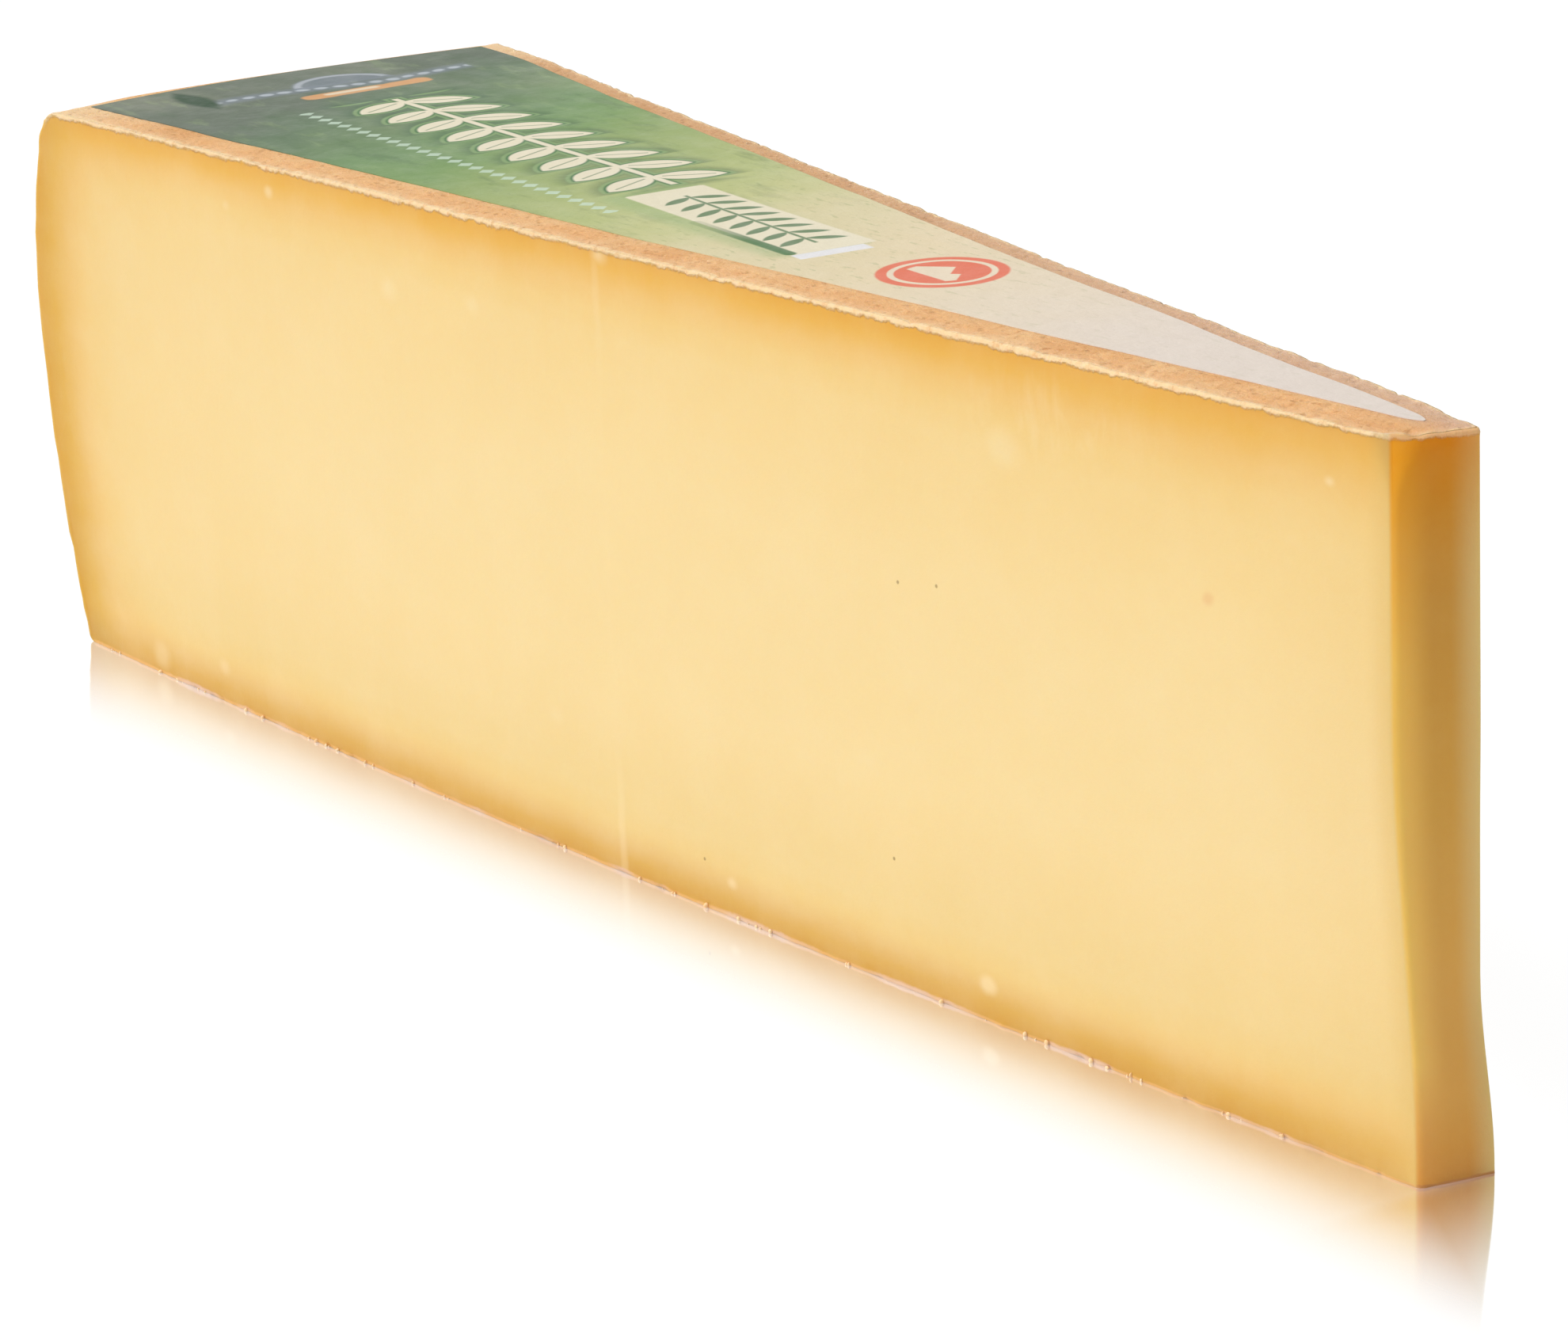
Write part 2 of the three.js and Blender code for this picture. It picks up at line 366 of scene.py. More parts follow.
class Shader:
    """Short words for building one material's nodes."""

    def __init__(self, name):
        self.material = bpy.data.materials.new(name)
        self.material.use_nodes = True
        self.tree = self.material.node_tree
        self.tree.nodes.clear()
        self.output = self.tree.nodes.new("ShaderNodeOutputMaterial")

    def node(self, kind, *values, **settings):
        """A node of this kind, with its settings and its first inputs given in order."""
        made = self.tree.nodes.new("ShaderNode" + kind)
        for key, value in settings.items():
            setattr(made, key, value)
        for socket, value in zip(made.inputs, values):
            self.put(socket, value)
        return made

    def put(self, socket, value):
        """Links a socket, or sets it to a plain number, vector or colour."""
        if isinstance(value, bpy.types.NodeSocket):
            self.tree.links.new(value, socket)
        elif value is not None:
            socket.default_value = value

    def place(self):
        """Object coordinates, in metres."""
        return self.node("TexCoord").outputs["Object"]

    def millimetres(self, place):
        """The X, Y and Z of a place, in millimetres."""
        return self.split(self.stretched(place, TO_MM, TO_MM, TO_MM))

    def attribute(self, name):
        """A point attribute of the mesh."""
        return self.node("Attribute", attribute_name=name).outputs["Fac"]

    def split(self, vector):
        """The X, Y and Z of a vector."""
        return self.node("SeparateXYZ", vector).outputs

    def math(self, operation, first, second=None, third=None):
        """One arithmetic step."""
        return self.node("Math", first, second, third, operation=operation).outputs[0]

    def add(self, first, second):
        return self.math("ADD", first, second)

    def subtract(self, first, second):
        return self.math("SUBTRACT", first, second)

    def times(self, first, second):
        return self.math("MULTIPLY", first, second)

    def smaller(self, first, second):
        return self.math("MINIMUM", first, second)

    def larger(self, first, second):
        return self.math("MAXIMUM", first, second)

    def stretched(self, vector, x, y, z):
        """A vector with its three parts multiplied."""
        return self.node("VectorMath", vector, (x, y, z), operation="MULTIPLY").outputs[0]

    def step(self, value, low, high, start=0.0, end=1.0):
        """A smooth S from start to end as the value goes from low to high."""
        made = self.node("MapRange", value, low, high, start, end, interpolation_type="SMOOTHSTEP")
        return made.outputs[0]

    def noise(self, vector, wavelength, detail=3.0, roughness=0.55, distortion=0.0):
        """Noise from 0 to 1 whose blotches are about one wavelength apart."""
        made = self.node("TexNoise")
        self.put(made.inputs["Vector"], vector)
        self.put(made.inputs["Scale"], 1.0 / wavelength)
        self.put(made.inputs["Detail"], detail)
        self.put(made.inputs["Roughness"], roughness)
        self.put(made.inputs["Distortion"], distortion)
        return made.outputs["Fac"]

    def cells(self, vector, wavelength, randomness=1.0):
        """Distance from the middle of round cells about one wavelength apart."""
        made = self.node("TexVoronoi")
        self.put(made.inputs["Vector"], vector)
        self.put(made.inputs["Scale"], 1.0 / wavelength)
        self.put(made.inputs["Randomness"], randomness)
        return made.outputs["Distance"]

    def ramp(self, factor, stops):
        """A colour ramp from (position, display colour) pairs."""
        made = self.node("ValToRGB", factor)
        elements = made.color_ramp.elements
        while len(elements) < len(stops):
            elements.new(0.5)
        for element, (position, colour) in zip(elements, stops):
            element.position = position
            element.color = linear(colour)
        return made.outputs["Color"]

    def mix(self, factor, first, second, blend="MIX"):
        """Two colours mixed by a factor; each is a socket or a display colour."""
        made = self.node("Mix", data_type="RGBA", blend_type=blend)
        self.put(made.inputs[MIX_FACTOR], factor)
        for index, colour in zip(MIX_COLOURS, (first, second)):
            linked = isinstance(colour, bpy.types.NodeSocket)
            self.put(made.inputs[index], colour if linked else linear(colour))
        return made.outputs[MIX_RESULT]

    def layer(self, ground, colour, mask, strength):
        """A colour laid over the ground where the mask is 1, at a strength."""
        return self.mix(self.times(mask, strength), ground, colour)

    def bump(self, height, distance, strength=1.0, normal=None):
        """A relief of this height in metres, over an earlier one if there is one."""
        made = self.node("Bump")
        self.put(made.inputs["Strength"], strength)
        self.put(made.inputs["Distance"], distance)
        self.put(made.inputs["Height"], height)
        self.put(made.inputs["Normal"], normal)
        return made.outputs["Normal"]

    def surface(self, **values):
        """The one surface shader, with its sockets named in words joined by underscores."""
        made = self.node("BsdfPrincipled")
        for key, value in values.items():
            self.put(made.inputs[key.replace("_", " ")], value)
        self.tree.links.new(made.outputs[0], self.output.inputs["Surface"])
        return self.material


# ------------------------------------------------------------------ the shape of the wedge


def wheel_axis():
    """The X of the wheel's axis: this far past the nose's foot in the frame's box."""
    return CHEESE_BOX[1][0] + AXIS_PAST_NOSE


def half_angle():
    """Half the angle between the two long cuts."""
    return bpy.context.scene.wedge_sizes.wedge_angle / 2


def side_reach(height):
    """The wheel's radius at a height: a parabola each way from the widest part to the rims."""
    sizes = bpy.context.scene.wedge_sizes
    upper = TOP - sizes.upper_rim - sizes.heel_swell_height
    lower = sizes.heel_swell_height - sizes.foot_rim
    above = height - sizes.heel_swell_height
    share = np.where(above > 0, above / upper, above / lower)
    return sizes.wheel_radius + sizes.heel_swell * (1.0 - np.clip(share * share, 0.0, 1.0))


def cut_swell(share, side, height):
    """How far a cut face bows out at a share of its length, on side -1 (near) or 1 (far).

    The near face leans in again towards its top.
    """
    sizes = bpy.context.scene.wedge_sizes
    arch = 4.0 * share * (1.0 - share)
    near = sizes.near_swell_foot + (sizes.near_swell_top - sizes.near_swell_foot) * height / TOP
    lean = sizes.near_lean * smooth_step(height, sizes.lean_start, TOP)
    lean = lean * smooth_step(1.0 - share, 0.0, 0.1)
    return np.where(side < 0, near * arch - lean, sizes.far_swell * arch + far_waver(share))


# the far cut's rises and one hollow: height in metres, middle and width as shares of its length
FAR_WAVER = ((1.3 * MM, 0.93, 0.07), (1.1 * MM, 0.06, 0.06), (-0.5 * MM, 0.33, 0.12))


def far_waver(share):
    """The far cut's waver: the sum of bell-shaped rises and hollows along its length."""
    return sum(rise * np.exp(-((share - middle) / width) ** 2) for rise, middle, width in FAR_WAVER)


def round_corner(first, second, radius):
    """Bends a square corner into a quarter round.

    first and second are depths inside the two faces. The square of side radius in the
    corner is mapped on to the quarter disc in it, ring by ring.
    """
    p = np.clip(radius - first, 0.0, radius)
    q = np.clip(radius - second, 0.0, radius)
    ring = np.maximum(p, q)
    turn = (np.pi / 4) * np.minimum(p, q) / np.maximum(ring, 1e-12)
    long_side = ring * np.cos(turn)
    short_side = ring * np.sin(turn)
    inside = (p > 0) & (q > 0)
    new_first = np.where(inside, radius - np.where(p >= q, long_side, short_side), first)
    new_second = np.where(inside, radius - np.where(p >= q, short_side, long_side), second)
    return new_first, new_second


def upper_rind_wave(x, y):
    """The slow rise and fall of the upper rind, shared by the cheese and its label."""
    points = np.stack([x, y, np.zeros_like(x)], axis=1)
    return bpy.context.scene.wedge_sizes.rind_wave * noise(points, 45 * MM, WAVE_SEED)


def label_borders(share):
    """The bare rind beside the near cut and beside the far one, at a share of the cuts' length."""
    label = bpy.context.scene.label_settings
    near_border = label.near_border + label.near_taper * (1.0 - share)
    far_border = label.far_border - label.far_taper * (1.0 - share)
    return near_border, far_border


def cut_share(away):
    """The share of a cut's length at a distance from the wheel's axis, from the nose's end."""
    sizes = bpy.context.scene.wedge_sizes
    return np.clip((away - sizes.nose_distance) / (sizes.wheel_radius - sizes.nose_distance), 0.0, 1.0)


def under_label(x, y):
    """1 under the label and 0 on bare rind, with a soft edge just outside the paper."""
    label = bpy.context.scene.label_settings
    sizes = bpy.context.scene.wedge_sizes
    away = wheel_axis() - x
    h = half_angle()
    share = cut_share(away)
    near_border, far_border = label_borders(share)
    near = away * math.sin(h) + y * math.cos(h) + cut_swell(share, -1.0, TOP) - near_border
    far = away * math.sin(h) - y * math.cos(h) + cut_swell(share, 1.0, TOP) - far_border
    tip = away - (sizes.nose_distance + label.nose_border)
    depth = np.minimum(np.minimum(near, far), tip)
    return smooth_step(depth, -0.9 * MM, -0.1 * MM)


def rind_grain(points):
    """The bare rind's relief: layered noise, less pits where a finer noise is high."""
    grain = layered_noise(points, 2.6 * MM, 3, GRAIN_SEED)
    pits = np.clip(layered_noise(points, 1.7 * MM, 2, PIT_SEED) - 0.35, 0.0, 1.0)
    return bpy.context.scene.wedge_sizes.rind_relief * (0.55 * grain - 1.2 * pits)


def torn_lip(points, upper):
    """How far the torn rind stands out from a cut: ragged above, and lower along the foot."""
    ragged = 0.5 + 0.5 * layered_noise(points * (1.0, 1.0, 0.4), 1.9 * MM, 2, LIP_SEED)
    rise = np.where(upper, np.clip(ragged, 0.0, 1.3), 0.6 * ragged - 0.3)
    return bpy.context.scene.wedge_sizes.fringe_lip * rise


def wedge_points(sizes):
    """The cheese's surface, its faces and its point attributes.

    A block's shell is bent round the wheel's axis: along runs from 1 at the heel to 0 at the
    nose, across is the angle from the near cut to the far one, and height is the third. Its
    edges are then rounded, and relief is added along the normals.
    """
    (i, j, k), faces = block_shell(*WEDGE_CELLS)
    shares = [graded(*pair) for pair in zip(WEDGE_CELLS, WEDGE_CROWDING)]
    along = 1.0 - shares[0][i]
    across = 2.0 * shares[1][j] - 1.0
    height = TOP * shares[2][k]
    h = half_angle()
    turn = across * h

    near_flare = sizes.near_flare * (1.0 - smooth_step(height, 1.5 * MM, sizes.near_flare_height))
    far_flare = sizes.far_flare * (1.0 - smooth_step(height, 1.0 * MM, sizes.far_flare_height))
    flare = near_flare + (far_flare - near_flare) * (across + 1.0) / 2
    crown_skew = sizes.crown_skew * smooth_step(height, sizes.lean_start, TOP) * (1.0 - across) / 2
    nose_plane = sizes.nose_distance - sizes.nose_skew * across - flare + crown_skew
    nose_reach = nose_plane / np.cos(turn)
    heel_reach = side_reach(height)
    reach = nose_reach + (heel_reach - nose_reach) * along

    near, far = (turn + h) * reach, (h - turn) * reach
    foot, crown = height.copy(), TOP - height
    nose, heel = reach - nose_reach, heel_reach - reach
    under_rind = np.minimum(np.minimum(foot, crown), heel)
    from_cut = np.minimum(np.minimum(near, far), nose)
    from_nose = nose.copy()

    width = near + far
    at_top = smooth_step(height, TOP - CROWN_REACH, TOP)
    near_corner = sizes.nose_round + (sizes.crown_round - sizes.nose_round) * at_top
    nose, near_new = round_corner(nose, near, near_corner)
    far = np.where(near_new != near, width - near_new, far)
    near = near_new
    nose, far_new = round_corner(nose, far, 0.5 * sizes.nose_round)
    near = np.where(far_new != far, width - far_new, near)
    far = far_new
    for cut in ("near", "far"):
        depth = near if cut == "near" else far
        depth, crown = round_corner(depth, crown, sizes.cut_round)
        depth, foot_new = round_corner(depth, TOP - crown, sizes.foot_edge)
        crown = TOP - foot_new
        if cut == "near":
            near, far = depth, width - depth
        else:
            near, far = width - depth, depth
    nose, crown = round_corner(nose, crown, 2 * sizes.cut_round)
    near_part = 1.0 - smooth_step(across, -1.0, -0.55)
    rim = sizes.upper_rim + (sizes.near_rim - sizes.upper_rim) * near_part
    heel, crown = round_corner(heel, crown, rim)
    heel, foot = round_corner(heel, TOP - crown, sizes.foot_rim)

    on_heel_side = along > 0.5
    reach = np.where(on_heel_side, heel_reach - heel, nose_reach + nose)
    turn = near / np.maximum(reach, 1e-6) - h
    share = np.clip((reach - nose_reach) / (sizes.wheel_radius - nose_reach), 0.0, 1.0)
    x = wheel_axis() - reach * np.cos(turn)
    y = reach * np.sin(turn)
    y = y + across * cut_swell(share, across, foot)
    points = np.stack([x, y, foot], axis=1)

    normals = corner_normals(points, faces)
    on_rind = 1.0 - smooth_step(under_rind, 0.2 * MM, 0.9 * MM)
    on_top = smooth_step(normals[:, 2], 0.5, 0.9)
    bare = 1.0 - on_top * under_label(x, y)
    on_base = smooth_step(-normals[:, 2], 0.5, 0.9)
    rise = on_rind * (0.06 + 0.94 * bare) * (1.0 - 0.8 * on_base) * rind_grain(points)
    lip = 1.0 - smooth_step(under_rind + from_cut, 0.3 * MM, 1.2 * MM)
    lip *= 1.0 - 0.45 * smooth_step(across, 0.0, 0.9)
    lip *= smooth_step(heel_reach - reach, 1.0 * MM, 3.0 * MM)
    rise += lip * torn_lip(points, crown < foot)
    rise += (1.0 - on_rind) * sizes.paste_wave * layered_noise(points, 28 * MM, 2, PASTE_SEED)
    points = points + normals * rise[:, None]
    points[:, 2] += on_top * upper_rind_wave(x, y)
    points[:, 2] = np.maximum(points[:, 2], 0.0)

    attributes = {
        "under_rind": under_rind / MM,
        "from_cut": from_cut / MM,
        "from_nose": from_nose / MM,
        "from_heel": (heel_reach - np.maximum(reach, nose_reach)) / MM,
        "across": across,
    }
    return points, faces, attributes


# ------------------------------------------------------------------ cheese material


# display colours laid over the paste; the first three multiply in painted shade towards the foot and
# towards the heel
PAINTED_FOOT_SHADE = (0.925, 0.93, 0.985)
PAINTED_LOW_SHADE = (0.975, 0.985, 0.99)
PAINTED_HEEL_SHADE = (0.95, 0.965, 0.93)
MOTTLE_TINT = (1.0, 0.93, 0.78)
# painted shade of the nose's rounded corner, laid over the near cut close to the nose
NOSE_CORNER_SHADE = (0.885, 0.74, 0.45)
NOSE_CLOUD = (0.90, 0.72, 0.42)
PALE_MARK = (0.985, 0.90, 0.72)
NICK_MARK = (0.90, 0.64, 0.46)
DARK_MARK = (0.45, 0.32, 0.16)

# display colours of the painted shade on the rind's far side towards the nose, of the crumbled foot,
# and of the speckle over it all
FAR_SHADE_BY_NOSE = (0.765, 0.665, 0.625)
CRUMBLED_FOOT = (0.885, 0.725, 0.615)
SPECKLE_DARK = (0.80, 0.62, 0.40)
SPECKLE_PALE = (1.0, 0.97, 0.90)

# pale specks on the near cut face: x, z, radius in millimetres, strength
PASTE_SPECKS = (
    (-81, 86, 1.1, 0.55), (-94, 82, 1.0, 0.25), (-49, 76, 2.2, 0.45), (-27, 77, 2.0, 0.35),
    (143, 83, 0.9, 0.55), (30, 5, 1.1, 0.5), (83, 5, 1.4, 0.6), (4, 89, 1.8, 0.6),
    (87, 77, 3.0, 0.4), (60, 30, 2.0, 0.15), (-10, 20, 1.6, 0.2), (-125, 3, 2.4, 0.35),
    (-104, 6, 1.5, 0.3),
)
# other marks there, in millimetres: x and z, or the knife line's x at the foot and its lean
DARK_DOTS = ((67, 55.6), (74.5, 56.6), (24, 7), (65, 17.6))
DARK_DOT_RADIUS = 0.3
KNIFE_LINE_X = 5.3
KNIFE_LINE_LEAN = -0.027
NICK_PLACE = (123.5, 65.0)
NICK_SIZE = (1.5, 1.3)
BRUISE_PLACE = (98.0, 82.0)
BRUISE_SIZE = (22.0, 8.0)


class SkinShader(Shader):
    """The cheese's shader, with the measures and the noises that its layers share.

    under_rind, from_cut, from_nose and from_heel are depths in millimetres, and across runs
    from -1 at the near cut to 1 at the far one.
    """

    def __init__(self, colours):
        super().__init__("cheese_skin")
        self.colours = colours
        self.position = self.place()
        self.x, _, self.height = self.millimetres(self.position)
        for measure in ("under_rind", "from_cut", "from_nose", "from_heel", "across"):
            setattr(self, measure, self.attribute(measure))
        self.cloudy = self.noise(self.position, 14 * MM, 4.0, 0.6)
        self.grain = self.noise(self.position, 1.3 * MM, 5.0, 0.68)
        self.pits = self.cells(self.position, 1.9 * MM)
        self.on_nose = self.step(self.from_nose, 0.0, 0.8, 1.0, 0.0)
        self.by_foot = self.step(self.height, 3.0, 9.0, 1.0, 0.0)


def cheese_material(colours):
    """Paste and rind in one skin, told apart by the depth below the rind.

    Cut paste deepens from a pale heart to gold under the rind. Where the rind is torn at a cut
    it shows a cream fringe, and the bare rind is grained, pitted and bloomed.
    """
    s = SkinShader(colours)
    hooped = cloth_imprint(s)
    rind = rind_colour(s, hooped)
    ragged = s.subtract(s.noise(s.position, 2.2 * MM, 6.0, 0.72), 0.5)
    ragged = s.times(ragged, s.subtract(2.2, s.times(s.by_foot, 1.4)))
    beyond_cut = s.step(s.subtract(s.from_cut, s.under_rind), 0.0, 0.4)
    rind_edge = s.add(s.under_rind, s.times(ragged, 0.3))
    on_rind = s.times(beyond_cut, s.step(rind_edge, 0.25, 0.8, 1.0, 0.0))
    fringe, fringe_colour = torn_edge(s, rind, ragged)
    colour = s.mix(on_rind, paste_colour(s), rind)
    colour = s.mix(s.times(fringe, 0.94), colour, fringe_colour)
    speckle = s.mix(s.noise(s.position, 1.1 * MM, 4.0, 0.6), SPECKLE_DARK, SPECKLE_PALE)
    colour = s.mix(0.08, colour, speckle, "SOFT_LIGHT")

    waxy = s.step(s.noise(s.position, 20 * MM, 4.0), 0.3, 0.7, 0.34, 0.50)
    rough_fringe = s.times(fringe, s.times(s.subtract(1.0, s.by_foot), 0.6))
    relief = s.add(s.times(s.grain, 0.65), s.times(s.step(s.pits, 0.0, 0.4), 0.35))
    relief = s.subtract(relief, s.times(hooped, 0.45))
    normal = s.bump(s.times(relief, s.larger(on_rind, rough_fringe)), 0.75 * MM, 0.9)
    normal = s.bump(s.noise(s.position, 0.5 * MM, 3.0, 0.6), 0.06 * MM, 0.5, normal)
    drawn = s.noise(s.stretched(s.position, 1.0, 1.0, 0.25), 3 * MM, 3.0, 0.55)
    normal = s.bump(drawn, 0.08 * MM, 0.6, normal)
    return s.surface(
        Base_Color=colour,
        Roughness=s.add(s.times(on_rind, 0.34), waxy),
        Normal=normal,
        Subsurface_Weight=0.3,
        Subsurface_Radius=(1.0, 0.75, 0.35),
        Subsurface_Scale=3 * MM,
        Specular_IOR_Level=0.08,
    )


def paste_depth(s):
    """Depth below the rind: the two nearest rinds count together, and slow noise pushes it."""
    crown = s.subtract(TO_MM * TOP, s.height)
    upright = s.smaller(s.times(s.height, 1.12), crown)
    sideways = s.times(s.from_heel, 0.5)
    squares = s.add(s.times(upright, upright), s.times(sideways, sideways))
    spread = s.math("SQRT", s.add(squares, 0.01))
    depth = s.math("DIVIDE", s.times(upright, sideways), spread)
    depth = s.times(depth, s.step(s.from_nose, 10.0, 120.0, 0.8, 1.0))
    wander = s.times(s.subtract(s.noise(s.position, 60 * MM, 3.0), 0.5), 3.5)
    depth = s.add(depth, s.times(wander, s.step(depth, 1.0, 8.0)))
    return s.add(depth, s.times(s.subtract(s.cloudy, 0.5), 1.0))


def paste_colour(s):
    """Cut paste: pale at heart, gold under the rind, darker at the foot and the heel with painted
    shade, and darker beside the nose with painted shade of its corner.
    """
    colours = s.colours
    paste = s.ramp(s.math("DIVIDE", paste_depth(s), 30.0), [
        (0.0, colours.paste_rim),
        (0.09, colours.paste_gold),
        (0.18, colours.paste_straw),
        (0.27, (0.950, 0.804, 0.524)),
        (0.40, colours.paste_pale),
        (1.0, colours.paste_heart),
    ])
    # painted shade: the paste is darkened close to the foot, more faintly up to 30 mm, and towards the
    # heel
    paste = s.mix(s.step(s.height, 0.5, 8.0, 1.0, 0.0), paste, PAINTED_FOOT_SHADE, "MULTIPLY")
    paste = s.mix(s.step(s.height, 6.0, 30.0, 1.0, 0.0), paste, PAINTED_LOW_SHADE, "MULTIPLY")
    paste = s.mix(s.step(s.from_heel, 0.0, 16.0, 1.0, 0.0), paste, PAINTED_HEEL_SHADE, "MULTIPLY")
    paste = s.layer(paste, MOTTLE_TINT, s.step(s.cloudy, 0.35, 0.75), 0.08)
    # painted shade: the near cut is darkened close to the nose's corner, and faintly further along
    nose_corner_shade = s.step(s.from_nose, 0.4, 5.0, 0.46, 0.0)
    paste = s.mix(s.add(nose_corner_shade, s.step(s.from_nose, 2.0, 26.0, 0.16, 0.0)), paste, NOSE_CORNER_SHADE)
    return s.mix(s.on_nose, paste_marks(s, paste), nose_colour(s))


def nose_colour(s):
    """The nose's old cut: ochre, burnt under the rind and at the foot, lighter to the far side, and
    brighter to the near side with painted light from its rounded corner and from light coming through
    the paste.
    """
    share = s.math("DIVIDE", s.height, TO_MM * TOP)
    middle = s.ramp(share, [
        (0.0, s.colours.nose_foot),
        (0.05, (0.885, 0.635, 0.30)),
        (0.12, (0.92, 0.69, 0.355)),
        (0.30, (0.90, 0.682, 0.345)),
        (0.52, s.colours.nose_ochre),
        (0.78, (0.838, 0.615, 0.275)),
        (0.90, (0.852, 0.58, 0.19)),
        (0.985, s.colours.nose_crown),
    ])
    # painted light: the near side of the nose, brightened as if lit round the corner and through the
    # paste
    near = s.ramp(share, [
        (0.0, (0.87, 0.60, 0.28)),
        (0.09, (0.935, 0.705, 0.375)),
        (0.17, (1.0, 0.81, 0.44)),
        (0.50, (1.0, 0.81, 0.42)),
        (0.70, s.colours.nose_near_painted_light),
        (0.87, (0.965, 0.70, 0.26)),
        (0.97, (0.93, 0.625, 0.125)),
    ])
    colour = s.mix(s.step(s.across, 0.0, -1.0, 0.0, 0.95), middle, near)
    far_side = s.step(s.across, 0.25, 1.0, 0.0, 0.85)
    below_crown = s.step(s.height, 72.0, 89.0, 1.0, 0.45)
    colour = s.layer(colour, s.colours.nose_far, far_side, below_crown)
    return s.layer(colour, NOSE_CLOUD, s.step(s.cloudy, 0.4, 0.7), 0.12)


def ellipse(s, centre, radius_x, radius_z):
    """1 at the rim of an ellipse on the near cut face, less inside and more outside."""
    u = s.times(s.subtract(s.x, centre[0]), 1.0 / radius_x)
    v = s.times(s.subtract(s.height, centre[1]), 1.0 / radius_z)
    return s.math("SQRT", s.add(s.times(u, u), s.times(v, v)))


def paste_marks(s, paste):
    """Small accidents of the near cut: specks, a bruise drawn by the knife, its line, a nick."""
    cloud = s.subtract(s.cloudy, 0.5)
    pale = 0.0
    for mark_x, mark_z, radius, strength in PASTE_SPECKS:
        away = s.add(ellipse(s, (mark_x, mark_z), 1.3 * radius, radius), s.times(cloud, 1.8))
        pale = s.larger(pale, s.step(away, 0.1, 1.2, 0.8 * strength, 0.0))
    line_x = s.add(KNIFE_LINE_X, s.times(s.height, KNIFE_LINE_LEAN))
    line = s.add(s.subtract(s.x, line_x), s.times(cloud, 1.6))
    line = s.step(s.math("ABSOLUTE", line), 0.2, 1.2, 1.0, 0.0)
    low_part = s.step(s.height, 10.0, 19.0, 0.20, 0.03)
    high_part = s.step(s.height, 62.0, 86.0, 0.0, 0.14)
    pale = s.larger(pale, s.times(line, s.larger(low_part, high_part)))
    streaks = s.noise(s.stretched(s.position, 1.0, 1.0, 0.32), 3.8 * MM, 4.0, 0.6, 0.4)
    bruise = s.step(ellipse(s, BRUISE_PLACE, *BRUISE_SIZE), 0.1, 1.1, 0.22, 0.0)
    pale = s.larger(pale, s.times(s.step(streaks, 0.44, 0.74), bruise))
    near_side = s.step(s.across, -0.98, -0.9, 1.0, 0.0)
    paste = s.layer(paste, PALE_MARK, pale, near_side)
    nick = s.add(ellipse(s, NICK_PLACE, *NICK_SIZE), s.times(cloud, 2.0))
    paste = s.layer(paste, NICK_MARK, s.step(nick, 0.2, 1.1, 0.3, 0.0), near_side)
    dark = 0.0
    for centre in DARK_DOTS:
        dot = ellipse(s, centre, DARK_DOT_RADIUS, DARK_DOT_RADIUS)
        dark = s.larger(dark, s.step(dot, 0.5, 1.1, 0.55, 0.0))
    return s.layer(paste, DARK_MARK, dark, near_side)


def cloth_imprint(s):
    """Faint level stripes on the wheel's side, left by the cloth of the mould."""
    hoop = s.noise(s.stretched(s.position, 0.12, 0.12, 1.0), 3 * MM, 4.0, 0.6)
    on_side = s.step(s.from_heel, 1.2, 0.2, 0.0, 1.0)
    return s.times(on_side, s.step(hoop, 0.45, 0.65))


def rind_colour(s, hooped):
    """Bare rind: tan ground, brown grain in the pits, blond bloom on the high places, and painted shade
    beside the far cut.
    """
    colours = s.colours
    blotch = s.noise(s.position, 9 * MM, 4.0, 0.62)
    stains = s.noise(s.position, 26 * MM, 4.0, 0.65)
    flecks = s.noise(s.stretched(s.position, 1.0, 1.0, 1.6), 2.4 * MM, 3.0, 0.7)
    rind = s.mix(s.step(blotch, 0.38, 0.72, 0.1, 0.75), colours.rind_tan, colours.rind_blond)
    rind = s.layer(rind, colours.rind_brown, s.step(s.grain, 0.53, 0.72), 0.58)
    rind = s.layer(rind, colours.rind_blond, s.step(s.grain, 0.46, 0.28), 0.45)
    rind = s.layer(rind, colours.rind_brown, s.step(s.pits, 0.22, 0.06), 0.3)
    rind = s.layer(rind, colours.rind_brown, s.step(stains, 0.50, 0.68), 0.30)
    rind = s.layer(rind, colours.rind_brown, hooped, 0.16)
    rind = s.mix(s.step(s.from_cut, 0.4, 3.2, 0.34, 0.0), rind, colours.fringe_cream)
    rind = s.layer(rind, colours.rind_fleck, s.step(flecks, 0.62, 0.72), 0.55)
    # painted shade: the rind's far side is mixed towards a greyer brown, greyer still towards the nose
    far_shade_mask = s.times(s.step(s.across, -0.2, 0.9), s.step(s.height, 80.0, 88.0))
    far_shade_colour = s.mix(s.step(s.x, -50.0, 130.0), colours.rind_far_shade, FAR_SHADE_BY_NOSE)
    rind = s.mix(s.times(far_shade_mask, 0.52), rind, far_shade_colour)
    by_heel = s.step(s.from_heel, 4.0, 30.0, 0.75, 0.0)
    heel_corner = s.times(by_heel, s.step(s.from_cut, 4.0, 14.0, 1.0, 0.0))
    return s.layer(rind, colours.fringe_cream, heel_corner, s.step(s.height, 84.0, 89.0))


